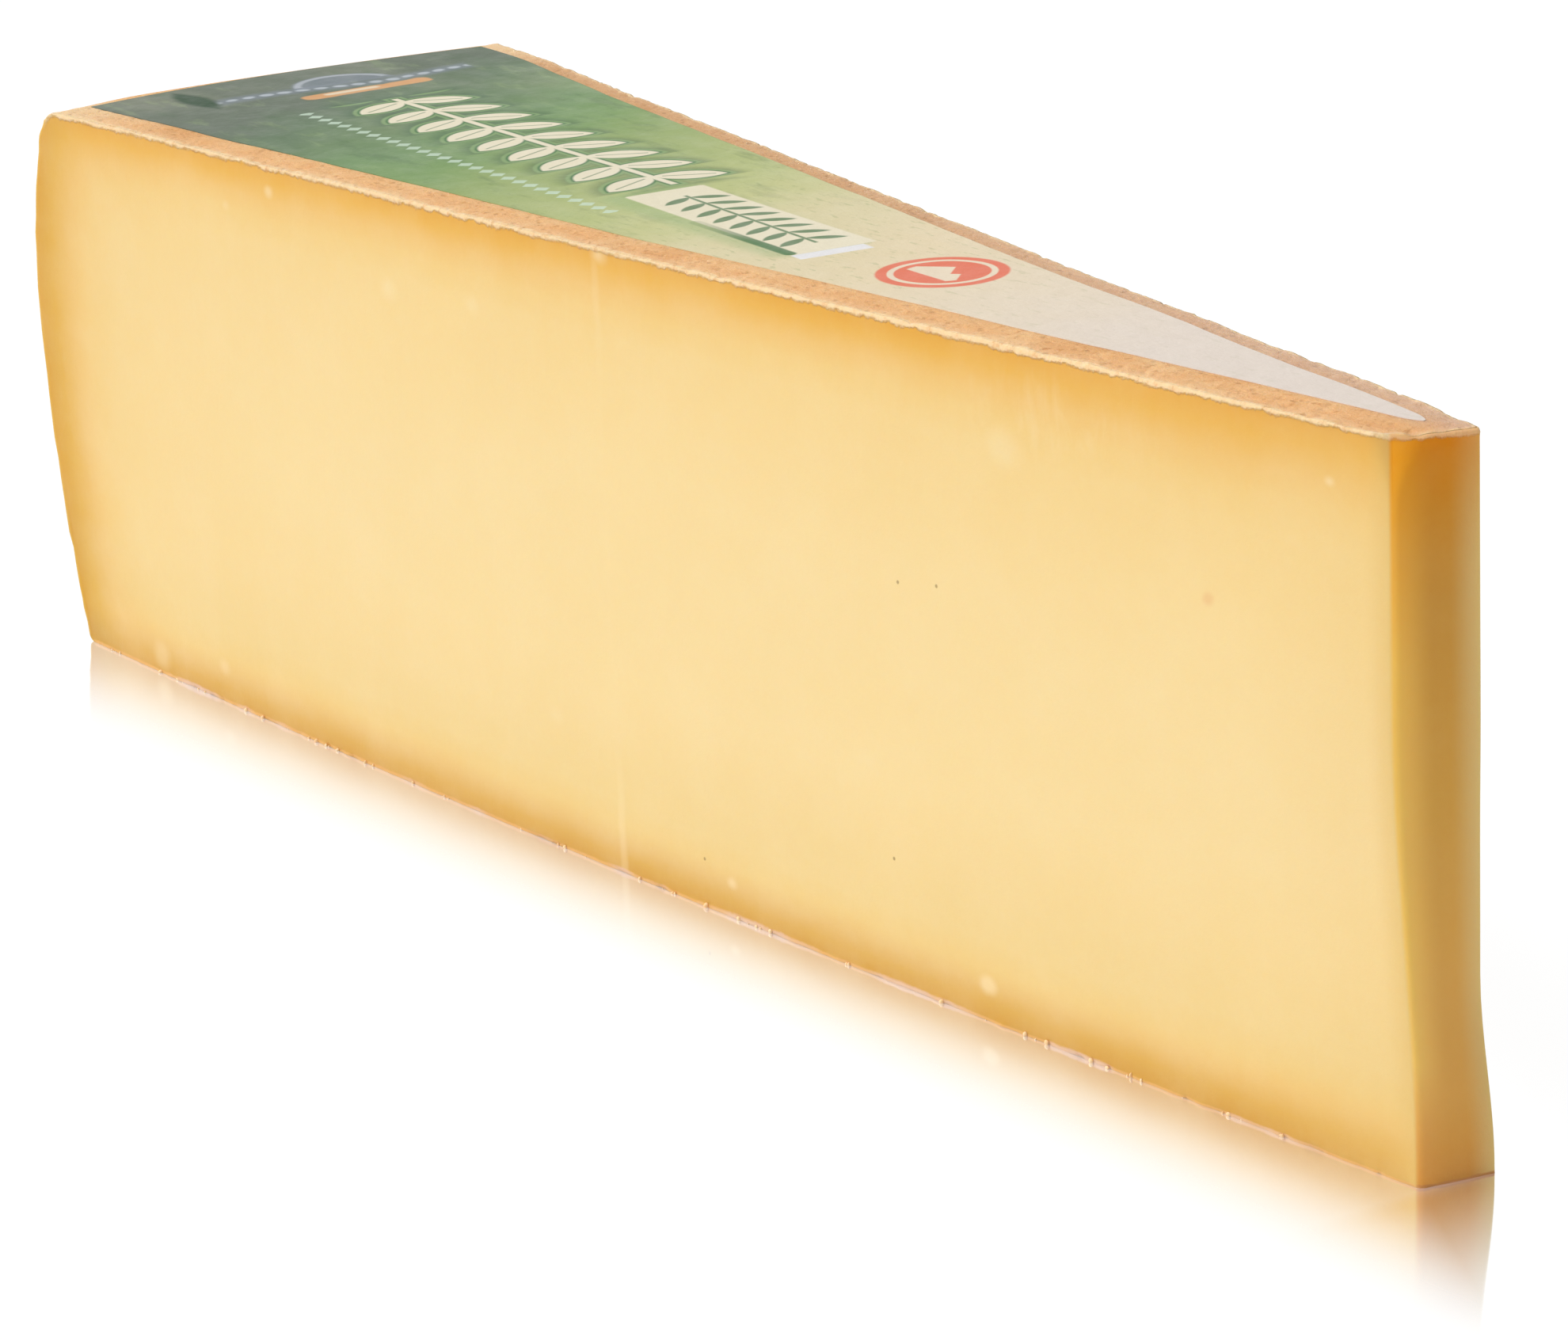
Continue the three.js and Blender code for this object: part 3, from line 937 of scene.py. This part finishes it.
def torn_edge(s, rind, ragged):
    """The torn edge, where both the cut and the rind are close: how much of it, and its colour."""
    colours = s.colours
    crumbled = s.times(s.by_foot, s.step(s.noise(s.position, 24 * MM, 3.0), 0.47, 0.60))
    width = s.subtract(s.step(s.from_nose, 20.0, 240.0, 0.78, 1.0), s.times(s.by_foot, 0.30))
    width = s.add(width, s.times(crumbled, 0.28))
    edge = s.add(s.add(s.under_rind, s.from_cut), s.times(ragged, width))
    edge = s.math("DIVIDE", edge, width)
    fringe = s.times(s.step(edge, 0.45, 1.0, 1.0, 0.0), s.step(s.from_heel, 0.8, 3.0))
    colour = s.mix(s.step(s.grain, 0.42, 0.74), colours.fringe_cream, rind)
    colour = s.layer(colour, colours.rind_tan, s.on_nose, 0.7)
    colour = s.mix(s.by_foot, colour, s.mix(crumbled, colours.foot_line, CRUMBLED_FOOT))
    return fringe, s.layer(colour, colours.rind_brown, s.by_foot, s.on_nose)


# ------------------------------------------------------------------ label


def label_points(label):
    """The paper's surface and faces.

    The sides keep their borders to the two cuts and follow their bow; the heel end is an arc
    about the wheel's axis, and the tip rounds off as half an ellipse.
    """
    (i, j, k), faces = block_shell(*LABEL_CELLS)
    sizes = bpy.context.scene.wedge_sizes
    h = half_angle()
    along = 1.0 - graded(LABEL_CELLS[0], LABEL_CROWDING[0])[i]
    across = 2.0 * graded(LABEL_CELLS[1], LABEL_CROWDING[1])[j] - 1.0
    heel_reach = sizes.wheel_radius - sizes.upper_rim - label.heel_border
    tip = sizes.nose_distance + label.nose_border

    y_guess = across * heel_reach * math.sin(h)
    heel_away = np.sqrt(heel_reach ** 2 - y_guess ** 2) - label.heel_turn * ((1.0 - across) / 2) ** 4
    away = tip + (heel_away - tip) * along
    share = cut_share(away)
    slope = math.tan(h)
    near_border, far_border = label_borders(share)
    near = -away * slope + near_border / math.cos(h) - cut_swell(share, -1.0, TOP)
    far = away * slope - far_border / math.cos(h) + cut_swell(share, 1.0, TOP)
    edges = np.stack([away, np.sign(across), np.zeros_like(away)], axis=1)
    waver = layered_noise(edges * (1.0, MM, 1.0), 22 * MM, 3, EDGE_SEED)
    waver = label.edge_waver * np.abs(across) * waver
    near, far = near - waver, far + waver
    middle, half = (near + far) / 2, (far - near) / 2
    past = 1.0 - np.clip((away - tip) / label.tip_length, 0.02, 1.0)
    half = half * np.sqrt(1.0 - past * past)
    x = wheel_axis() - away
    y = middle + across * half
    z = TOP + upper_rind_wave(x, y) - label.sink + k * label.paper
    points = np.stack([x, y, z], axis=1)
    cockle = layered_noise(points * (1.0, 1.0, 0.0), 4.0 * MM, 2, PAPER_SEED)
    points[:, 2] += PAPER_COCKLE * cockle
    return points, faces


# the ground print along the label: distance from the heel end in millimetres, display colour
GROUND_PRINT = (
    (0, (106, 115, 101)), (22, (101, 112, 97)), (37, (102, 122, 96)), (52, (108, 132, 95)),
    (67, (117, 146, 101)), (82, (126, 155, 99)), (97, (150, 169, 110)), (127, (182, 190, 130)),
    (142, (199, 199, 145)), (157, (218, 208, 166)), (187, (230, 213, 178)), (217, (231, 216, 193)),
    (247, (229, 216, 203)), (296, (227, 215, 205)),
)
# how much further along the print is for each millimetre towards the far side
PRINT_SLANT = 0.45

# display colours of the flecks and the washes on the paper
FLECK_OLIVE = (0.60, 0.65, 0.43)
BRUSH_DARK = (0.29, 0.40, 0.27)
BRUSH_PALE = (0.62, 0.70, 0.50)
WASH_CREAM = (0.92, 0.90, 0.78)
FIBRE_DARK = (0.55, 0.52, 0.48)
FIBRE_PALE = (1.0, 1.0, 1.0)

# display colours of the small figures
DOT_MINT = (0.80, 0.88, 0.80)
CORNER_WHITE = (0.92, 0.92, 0.94)
CREST_GREY = (0.80, 0.82, 0.85)
PEBBLE_GREY = (0.80, 0.83, 0.86)
LEAF_DARK = (0.19, 0.285, 0.20)

# how far a sprig's leaves turn from its stem, in degrees, and half a vein's width
LEAF_TURN = 62.0
VEIN_HALF_WIDTH = 0.22


class Drawing:
    """Plain figures on the label's plane, as signed distances in millimetres."""

    def __init__(self, s, x, y):
        self.s, self.x, self.y = s, x, y

    def hypotenuse(self, u, v):
        """The distance from where u and v are both 0."""
        s = self.s
        return s.math("SQRT", s.add(s.times(u, u), s.times(v, v)))

    def local(self, centre, turn=0.0):
        """Coordinates about a centre, turned by an angle in degrees."""
        s = self.s
        dx, dy = s.subtract(self.x, centre[0]), s.subtract(self.y, centre[1])
        return self.turned(dx, dy, turn)

    def turned(self, u, v, turn):
        """Coordinates turned by an angle in degrees."""
        s = self.s
        c, n = math.cos(math.radians(turn)), math.sin(math.radians(turn))
        return s.add(s.times(u, c), s.times(v, n)), s.subtract(s.times(v, c), s.times(u, n))

    def beads(self, value, pitch):
        """Distance from the middle of the nearest of many equal spans."""
        s = self.s
        return s.subtract(s.math("FLOORED_MODULO", value, pitch), 0.5 * pitch)

    def disc(self, centre, radius):
        """A round figure."""
        return self.s.subtract(self.hypotenuse(*self.local(centre)), radius)

    def box(self, centre, half, turn=0.0, corner=0.0):
        """A box with rounded corners; half is half its length and half its width."""
        s = self.s
        u, v = self.local(centre, turn)
        du = s.subtract(s.math("ABSOLUTE", u), half[0] - corner)
        dv = s.subtract(s.math("ABSOLUTE", v), half[1] - corner)
        outside = self.hypotenuse(s.larger(du, 0.0), s.larger(dv, 0.0))
        return s.subtract(s.add(outside, s.smaller(s.larger(du, dv), 0.0)), corner)

    def leaf(self, u, v, half_length, half_width):
        """A pointed oval along u: the overlap of two discs, drawn by folding one axis.

        Returns its distance, and how far the fold lies from the discs' middles.
        """
        s = self.s
        radius = (half_length ** 2 + half_width ** 2) / (2 * half_width)
        fold = s.add(s.math("ABSOLUTE", v), radius - half_width)
        return s.subtract(self.hypotenuse(u, fold), radius), fold

    def paint(self, ground, colour, distance, strength, soft=0.25):
        """A figure's inside laid over the ground at a strength, with a soft printed edge."""
        return self.s.layer(ground, colour, self.s.step(distance, -soft, soft, 1.0, 0.0), strength)


def sprig(art, u, v, pitch, count, leaf_size, stem):
    """Paired leaves on one stem that runs along u from 0 to pitch * count, at v = 0.

    leaf_size is a leaf's half length and half width. Returns the distances to the sprig and to
    the veins of its leaves.
    """
    s = art.s
    half_length, half_width = leaf_size
    off = s.math("ABSOLUTE", v)
    leaf_u = s.subtract(art.beads(u, pitch), 0.07 * pitch)
    leaf_u, leaf_v = art.turned(leaf_u, s.subtract(off, 0.88 * half_length), LEAF_TURN)
    leaf, fold = art.leaf(leaf_u, leaf_v, half_length, half_width)
    span = s.larger(s.subtract(0.0, u), s.subtract(u, pitch * count))
    body = s.larger(s.smaller(leaf, s.subtract(off, stem)), span)
    spine = (half_length ** 2 + half_width ** 2) / (2 * half_width) - half_width
    vein_end = s.subtract(s.math("ABSOLUTE", leaf_u), 0.7 * half_length)
    vein = s.larger(s.subtract(fold, spine + VEIN_HALF_WIDTH), vein_end)
    return body, s.larger(vein, span)


def printed_sprig(art, colour, label):
    """A bold cream sprig in the middle of the green ground, rimmed in light green and shaded."""
    s = art.s
    u, v = art.local((-114.5, 4.8))
    body, vein = sprig(art, u, v, pitch=10.0, count=9, leaf_size=(5.6, 2.75), stem=0.6)
    colour = s.mix(s.step(body, 0.0, 4.2, 0.62, 0.0), colour, label.print_shade)
    colour = art.paint(colour, label.print_leaf, s.subtract(body, 1.15), 0.6)
    colour = art.paint(colour, label.print_green, s.subtract(body, 0.45), 0.85, soft=0.2)
    colour = art.paint(colour, label.print_cream, body, 0.97)
    return art.paint(colour, label.print_green, vein, 0.6, soft=0.12)


def printed_dots(art, colour, label):
    """A row of small pale diamonds along the near side of the green ground."""
    s = art.s
    u, v = art.local((-64.0, -11.3))
    along = art.beads(s.add(art.x, 200.0), 3.4)
    diamond = s.add(s.math("ABSOLUTE", along), s.math("ABSOLUTE", v))
    ends = s.subtract(s.math("ABSOLUTE", u), 50.0)
    return art.paint(colour, DOT_MINT, s.larger(s.subtract(diamond, 1.35), ends), 0.7, soft=0.2)


def printed_panel(art, colour, label):
    """A cream slip with a thin green sprig, a green bar along its foot and a turned-up corner."""
    s = art.s
    shade = art.box((2.0, -1.5), half=(25.0, 7.0), turn=-1.5, corner=2.0)
    colour = s.mix(s.step(shade, -1.0, 2.5, 0.45, 0.0), colour, label.print_leaf)
    slip = art.box((3.0, 0.6), half=(24.5, 6.4), turn=-1.5, corner=0.6)
    colour = art.paint(colour, label.print_cream, slip, 0.92)
    u, v = art.local((-16.5, 1.9), turn=-3.0)
    body = sprig(art, u, v, pitch=4.9, count=8, leaf_size=(3.0, 1.0), stem=0.3)[0]
    colour = art.paint(colour, label.print_green, body, 0.85, soft=0.2)
    bar = art.box((13.0, -6.2), half=(14.0, 0.95), turn=-1.5, corner=0.9)
    colour = art.paint(colour, label.print_green, bar, s.step(art.x, -2.0, 18.0, 0.2, 0.9))
    corner = art.box((29.0, -1.6), half=(1.5, 5.6), turn=-3.0, corner=0.2)
    return art.paint(colour, CORNER_WHITE, corner, 0.85)


def printed_medallion(art, colour, label):
    """A plain clay-red disc with a thin cream ring and two cream hills."""
    s = art.s
    centre = (49.6, 2.6)
    disc = art.disc(centre, 8.9)
    colour = art.paint(colour, label.print_clay, disc, 0.92)
    ring = s.subtract(s.math("ABSOLUTE", s.add(disc, 2.0)), 0.45)
    colour = art.paint(colour, label.print_cream, ring, 0.9, soft=0.15)
    u, v = art.local(centre)
    first = s.add(v, s.times(s.math("ABSOLUTE", s.add(u, 1.4)), 0.95))
    second = s.add(v, s.add(s.times(s.math("ABSOLUTE", s.subtract(u, 2.6)), 0.95), 1.8))
    hills = s.smaller(s.subtract(first, 3.0), s.subtract(second, 3.0))
    hills = s.larger(hills, s.subtract(-2.6, v))
    hills = s.larger(hills, s.add(disc, 3.6))
    return art.paint(colour, label.print_cream, hills, 0.9, soft=0.2)


def printed_heel(art, colour, label):
    """At the heel: a row of pale pebbles, a slate hill, an orange stroke and a dark leaf."""
    s = art.s
    cloud = s.noise(s.node("CombineXYZ", art.x, art.y, 0.0).outputs[0], 6.0, 3.0)
    cloud = s.subtract(cloud, 0.5)
    wave = s.times(s.math("SINE", s.times(art.y, 0.16)), 1.2)
    path = s.subtract(s.add(art.x, 132.3), s.add(wave, s.times(cloud, 1.2)))
    span = s.subtract(s.math("ABSOLUTE", s.subtract(art.y, 5.0)), 23.0)
    wash = s.larger(s.subtract(s.math("ABSOLUTE", path), 2.2), span)
    colour = s.mix(s.step(wash, -1.5, 1.5, 0.5, 0.0), colour, label.print_slate)
    mound = art.disc((-133.0, 5.5), 9.0)
    hill = s.larger(mound, s.add(art.x, 133.5))
    colour = art.paint(colour, label.print_slate, hill, 0.55, soft=0.6)
    rim = s.subtract(s.math("ABSOLUTE", s.add(mound, 0.9)), 0.6)
    colour = art.paint(colour, CREST_GREY, s.larger(rim, s.add(art.x, 135.0)), 0.5, soft=0.4)
    bead = art.beads(s.add(art.y, 60.0), 3.1)
    pebble = s.math("SQRT", s.add(s.times(bead, bead), s.times(s.times(path, path), 1.4)))
    pebble = s.larger(s.subtract(pebble, s.add(1.1, s.times(cloud, 1.1))), span)
    colour = art.paint(colour, PEBBLE_GREY, pebble, 0.6, soft=0.4)
    stroke = art.box((-126.3, 5.8), half=(1.9, 11.8), turn=4.0, corner=1.6)
    stroke = s.add(stroke, s.times(cloud, 1.4))
    colour = art.paint(colour, label.print_orange, stroke, 0.85, soft=0.4)
    light = art.box((-126.6, 3.2), half=(0.8, 5.0), turn=4.0, corner=0.7)
    colour = art.paint(colour, label.print_cream, light, 0.75, soft=0.5)
    u, v = art.local((-137.0, -19.6))
    leaf = art.leaf(u, v, half_length=9.2, half_width=2.4)[0]
    return art.paint(colour, LEAF_DARK, s.add(leaf, s.times(cloud, 1.2)), 0.95, soft=0.9)


def label_material(label):
    """Matt printed paper: a green ground fading to off-white, brush flecks and plain figures."""
    s = Shader("printed_paper")
    place = s.place()
    x, y, _ = s.millimetres(place)
    length = TO_MM * (LABEL_BOX[1][0] - LABEL_BOX[0][0])
    cloud = s.subtract(s.noise(s.stretched(place, 0.5, 1.0, 1.0), 12 * MM, 4.0, 0.6), 0.5)
    run = s.add(s.subtract(x, TO_MM * LABEL_BOX[0][0]), s.times(y, PRINT_SLANT))
    run = s.add(run, s.times(cloud, 26.0))
    stops = [(at / length, tuple(part / 255 for part in shade)) for at, shade in GROUND_PRINT]
    colour = s.ramp(s.math("DIVIDE", run, length), stops)

    fleck = s.noise(s.stretched(place, 0.3, 1.0, 1.0), 1.1 * MM, 3.0, 0.6)
    brush = s.noise(s.stretched(place, 0.3, 1.0, 1.0), 5 * MM, 4.0, 0.65)
    wash = s.noise(s.stretched(place, 0.4, 1.0, 1.0), 20 * MM, 3.0, 0.6)
    past_green = s.times(s.step(x, -60.0, -10.0), s.step(x, 30.0, 100.0, 1.0, 0.25))
    on_green = s.step(x, -40.0, 25.0, 1.0, 0.0)
    flecks = s.times(s.step(fleck, 0.57, 0.68), past_green)
    colour = s.layer(colour, FLECK_OLIVE, flecks, 0.34)
    colour = s.layer(colour, BRUSH_DARK, s.times(s.step(brush, 0.52, 0.68), on_green), 0.32)
    colour = s.layer(colour, BRUSH_PALE, s.times(s.step(brush, 0.46, 0.32), on_green), 0.24)
    colour = s.layer(colour, WASH_CREAM, s.step(wash, 0.45, 0.75), 0.09)
    art = Drawing(s, x, y)
    for figure in (printed_heel, printed_sprig, printed_dots, printed_panel, printed_medallion):
        colour = figure(art, colour, label)

    fibre = s.noise(place, 0.6 * MM, 4.0, 0.65)
    colour = s.mix(0.14, colour, s.mix(fibre, FIBRE_DARK, FIBRE_PALE), "SOFT_LIGHT")
    roughness = s.step(s.noise(place, 6 * MM, 3.0), 0.3, 0.7, 0.42, 0.56)
    normal = s.bump(s.noise(place, 3.2 * MM, 4.0, 0.6), 0.30 * MM, 0.8)
    normal = s.bump(fibre, 0.03 * MM, 0.5, normal)
    return s.surface(Base_Color=colour, Roughness=roughness, Normal=normal, Specular_IOR_Level=0.05)


# ------------------------------------------------------------------ crumbs


# the crumbs' number, the rings and segments of one, and the seeds of their places and shapes
CRUMB_COUNT = 70
CRUMB_RINGS = 6
CRUMB_SEGMENTS = 9
CRUMB_SEED = 7
CRUMB_ROUGHNESS_SEED = 5


def crumb_points():
    """Small broken crumbs against the foot of the near cut and the nose.

    One lump is a sphere of rings and segments; each crumb is a squashed, turned copy with its
    own noise. They are placed along the foot at random, seeded, and rest on the ground.
    """
    rings, segments, count = CRUMB_RINGS, CRUMB_SEGMENTS, CRUMB_COUNT
    random = np.random.default_rng(CRUMB_SEED)
    tilt = np.linspace(0.0, np.pi, rings + 1)[1:-1]
    spin = np.arange(segments) * 2 * np.pi / segments
    ring = np.stack([
        np.sin(tilt)[:, None] * np.cos(spin), np.sin(tilt)[:, None] * np.sin(spin),
        np.cos(tilt)[:, None] * np.ones(segments),
    ], axis=-1).reshape(-1, 3)
    unit = np.concatenate([ring, [[0, 0, 1.0]], [[0, 0, -1.0]]])
    row, column = np.meshgrid(np.arange(rings - 2), np.arange(segments), indexing="ij")
    after = (column + 1) % segments
    band = np.stack([
        row * segments + column, (row + 1) * segments + column,
        (row + 1) * segments + after, row * segments + after,
    ], axis=-1).reshape(-1, 4)
    c = np.arange(segments)
    n = (c + 1) % segments
    summit, base = len(ring), len(ring) + 1
    last = (rings - 2) * segments
    fans = np.concatenate([
        np.stack([c, n, np.full(segments, summit)], axis=1),
        np.stack([last + n, last + c, np.full(segments, base)], axis=1),
    ])
    triangles = np.concatenate([band[:, [0, 1, 2]], band[:, [0, 2, 3]], fans])

    radius = random.uniform(0.15, 0.58, count) ** 1.4 * MM
    squash = random.uniform(0.55, 1.0, (count, 3))
    h = half_angle()
    reach = random.uniform(0.055, 0.345, count)
    out = cut_swell(cut_share(reach), np.full(count, -1.0), np.zeros(count))
    out += random.uniform(-0.1, 0.5, count) * radius
    centre = np.stack([
        wheel_axis() - reach * math.cos(h) + out * math.sin(h),
        -reach * math.sin(h) - out * math.cos(h),
        radius * squash[:, 2] * 0.8,
    ], axis=1)
    lumps = unit[None] * squash[:, None] * radius[:, None, None]
    own_place = unit[None] * 0.9 + 10.0 * np.arange(count)[:, None, None]
    rough = noise(own_place.reshape(-1, 3), 1.0, CRUMB_ROUGHNESS_SEED)
    rough = 1.0 + 0.35 * rough.reshape(count, -1, 1)
    points = lumps * rough + centre[:, None]
    points[..., 2] = np.maximum(points[..., 2], 0.0)
    faces = triangles[None] + (np.arange(count) * len(unit))[:, None, None]
    return points.reshape(-1, 3), faces.reshape(-1, 3)


def crumb_material(colours):
    """Dry crumbs of rind and paste."""
    s = Shader("dry_crumbs")
    place = s.place()
    blotch = s.noise(place, 4 * MM, 3.0)
    colour = s.mix(s.step(blotch, 0.4, 0.65), colours.fringe_cream, colours.rind_blond)
    normal = s.bump(s.noise(place, 0.4 * MM, 3.0), 0.1 * MM, 0.8)
    return s.surface(
        Base_Color=colour,
        Roughness=s.step(blotch, 0.3, 0.7, 0.6, 0.8),
        Normal=normal,
        Subsurface_Weight=0.2,
        Subsurface_Radius=(1.0, 0.6, 0.25),
        Subsurface_Scale=1 * MM,
    )


# ------------------------------------------------------------------ studio


# linear colours and strengths of the floor, the lamp's size and direction, the camera's limits
WHITE = (1.0, 1.0, 1.0, 1.0)
FLOOR_GREY = (0.10, 0.10, 0.10, 1.0)
FLOOR_GLOW = 0.95
FLOOR_ROUGHNESS = 0.06
MIRROR_REACH = 30 * MM
SEEN_WHITE = 1.05
KEY_ANGLE = math.radians(24)
KEY_TOWARDS = (0.40, 0.60, -1.0)
SENSOR_WIDTH = 36.0
NEAREST_SEEN = 0.01
FURTHEST_SEEN = 20.0


def floor_material():
    """A white polished floor that mirrors only what stands close: the sheen fades with distance."""
    s = Shader("studio_floor")
    x, y, _ = s.split(s.place())
    h = half_angle()
    away = s.subtract(wheel_axis(), x)
    near = s.subtract(s.times(y, -math.cos(h)), s.times(away, math.sin(h)))
    far = s.subtract(s.times(y, math.cos(h)), s.times(away, math.sin(h)))
    nose = s.times(s.subtract(x, CHEESE_BOX[1][0]), 0.6)
    heel = s.subtract(CHEESE_BOX[0][0], x)
    distance = s.larger(s.larger(near, far), s.larger(nose, heel))
    mirror = s.math("POWER", s.step(distance, 0.0, MIRROR_REACH, 1.0, 0.0), 1.5)
    along = s.step(x, CHEESE_BOX[0][0], CHEESE_BOX[1][0], 0.70, 0.84)
    before_nose = s.larger(along, s.step(nose, -8 * MM, 2 * MM, 0.0, 0.96))
    matt = s.node("BsdfDiffuse", FLOOR_GREY).outputs[0]
    glow = s.node("Emission", WHITE, FLOOR_GLOW).outputs[0]
    body = s.node("AddShader", matt, glow).outputs[0]
    polish = s.node("BsdfAnisotropic", WHITE, FLOOR_ROUGHNESS).outputs[0]
    mixed = s.node("MixShader", s.times(mirror, before_nose), body, polish).outputs[0]
    s.tree.links.new(mixed, s.output.inputs["Surface"])
    return s.material


def studio_world(strength):
    """Even white light all round; what the eye and the floor see of it is pure white."""
    world = bpy.data.worlds.new("studio")
    world.use_nodes = True
    tree = world.node_tree
    background = tree.nodes["Background"]
    path = tree.nodes.new("ShaderNodeLightPath")
    seen = tree.nodes.new("ShaderNodeMath")
    seen.operation = "MAXIMUM"
    tree.links.new(path.outputs["Is Camera Ray"], seen.inputs[0])
    tree.links.new(path.outputs["Is Glossy Ray"], seen.inputs[1])
    level = tree.nodes.new("ShaderNodeMapRange")
    tree.links.new(seen.outputs[0], level.inputs[0])
    level.inputs[3].default_value = strength
    level.inputs[4].default_value = SEEN_WHITE
    background.inputs[0].default_value = WHITE
    tree.links.new(level.outputs[0], background.inputs[1])
    return world


def aim_camera(studio):
    """Stands the camera in its place, turned, dipped and rolled about its own axis."""
    data = bpy.data.cameras.new("camera")
    data.lens = studio.lens
    data.sensor_width = SENSOR_WIDTH
    data.clip_start = NEAREST_SEEN
    data.clip_end = FURTHEST_SEEN
    camera = bpy.data.objects.new("camera", data)
    bpy.context.scene.collection.objects.link(camera)
    camera.location = studio.camera_place
    level = Euler((math.pi / 2 - studio.camera_dip, 0.0, studio.camera_turn)).to_matrix()
    lean = Euler((0.0, 0.0, studio.camera_roll)).to_matrix()
    camera.rotation_euler = (level @ lean).to_euler()
    bpy.context.scene.camera = camera


class WEDGE_OT_studio(bpy.types.Operator):
    """Make the camera, the floor and the soft light"""

    bl_idname = "wedge.make_studio"
    bl_label = "Make studio"

    def execute(self, context):
        scene = context.scene
        studio = scene.studio_settings
        aim_camera(studio)
        corners = np.array([[-1.0, -1.0, 0.0], [1.0, -1.0, 0.0], [1.0, 1.0, 0.0], [-1.0, 1.0, 0.0]])
        corners = studio.floor_half * corners
        floor = mesh_object("studio_floor", corners, np.array([[0, 1, 2, 3]]), floor_material())
        key = bpy.data.lights.new("key_light", "SUN")
        key.energy = studio.key_strength
        key.angle = KEY_ANGLE
        lamp = bpy.data.objects.new("key_light", key)
        scene.collection.objects.link(lamp)
        lamp.rotation_euler = Vector(KEY_TOWARDS).to_track_quat("-Z", "Y").to_euler()
        scene.world = studio_world(studio.sky_strength)
        scene.view_settings.view_transform = "Standard"
        return {"FINISHED"}


class WEDGE_OT_cheese(bpy.types.Operator):
    """Make the wedge of cheese, paste and rind"""

    bl_idname = "wedge.make_cheese"
    bl_label = "Make cheese"

    def execute(self, context):
        points, faces, attributes = wedge_points(context.scene.wedge_sizes)
        material = cheese_material(context.scene.wedge_colours)
        cheese = mesh_object("cheese_wedge", points, faces, material, attributes)
        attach(cheese, "root")
        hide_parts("cheese")
        return {"FINISHED"}


class WEDGE_OT_label(bpy.types.Operator):
    """Make the printed paper label"""

    bl_idname = "wedge.make_label"
    bl_label = "Make label"

    def execute(self, context):
        settings = context.scene.label_settings
        points, faces = label_points(settings)
        label = mesh_object("paper_label", points, faces, label_material(settings))
        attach(label, "root")
        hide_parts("label")
        return {"FINISHED"}


class WEDGE_OT_crumbs(bpy.types.Operator):
    """Make the crumbs that cling along the foot of the cut"""

    bl_idname = "wedge.make_crumbs"
    bl_label = "Make crumbs"

    def execute(self, context):
        points, faces = crumb_points()
        crumbs = mesh_object("foot_crumbs", points, faces, crumb_material(context.scene.wedge_colours))
        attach(crumbs, "root")
        return {"FINISHED"}


class WEDGE_PT_panel(bpy.types.Panel):
    """Lists the steps that make the wedge"""

    bl_idname = "WEDGE_PT_panel"
    bl_label = "Cheese Wedge"
    bl_space_type = "VIEW_3D"
    bl_region_type = "UI"
    bl_category = "Cheese Wedge"

    def draw(self, context):
        for operator in OPERATORS:
            self.layout.operator(operator.bl_idname)
        for group in GROUPS:
            box = self.layout.box()
            box.label(text=group.__doc__)
            settings = getattr(context.scene, GROUPS[group])
            for name in group.__annotations__:
                box.prop(settings, name)


GROUPS = {
    WedgeSizes: "wedge_sizes",
    WedgeColours: "wedge_colours",
    LabelSettings: "label_settings",
    StudioSettings: "studio_settings",
}
OPERATORS = (WEDGE_OT_studio, WEDGE_OT_cheese, WEDGE_OT_label, WEDGE_OT_crumbs)


def register():
    for group, name in GROUPS.items():
        bpy.utils.register_class(group)
        setattr(bpy.types.Scene, name, PointerProperty(type=group))
    for kind in (*OPERATORS, WEDGE_PT_panel):
        bpy.utils.register_class(kind)


def unregister():
    for kind in reversed((*OPERATORS, WEDGE_PT_panel)):
        bpy.utils.unregister_class(kind)
    for group, name in reversed(GROUPS.items()):
        delattr(bpy.types.Scene, name)
        bpy.utils.unregister_class(group)


def main():
    """Makes everything in order."""
    register()
    bpy.ops.wedge.make_studio()
    bpy.ops.wedge.make_cheese()
    bpy.ops.wedge.make_label()
    bpy.ops.wedge.make_crumbs()


if __name__ == "__main__":
    main()
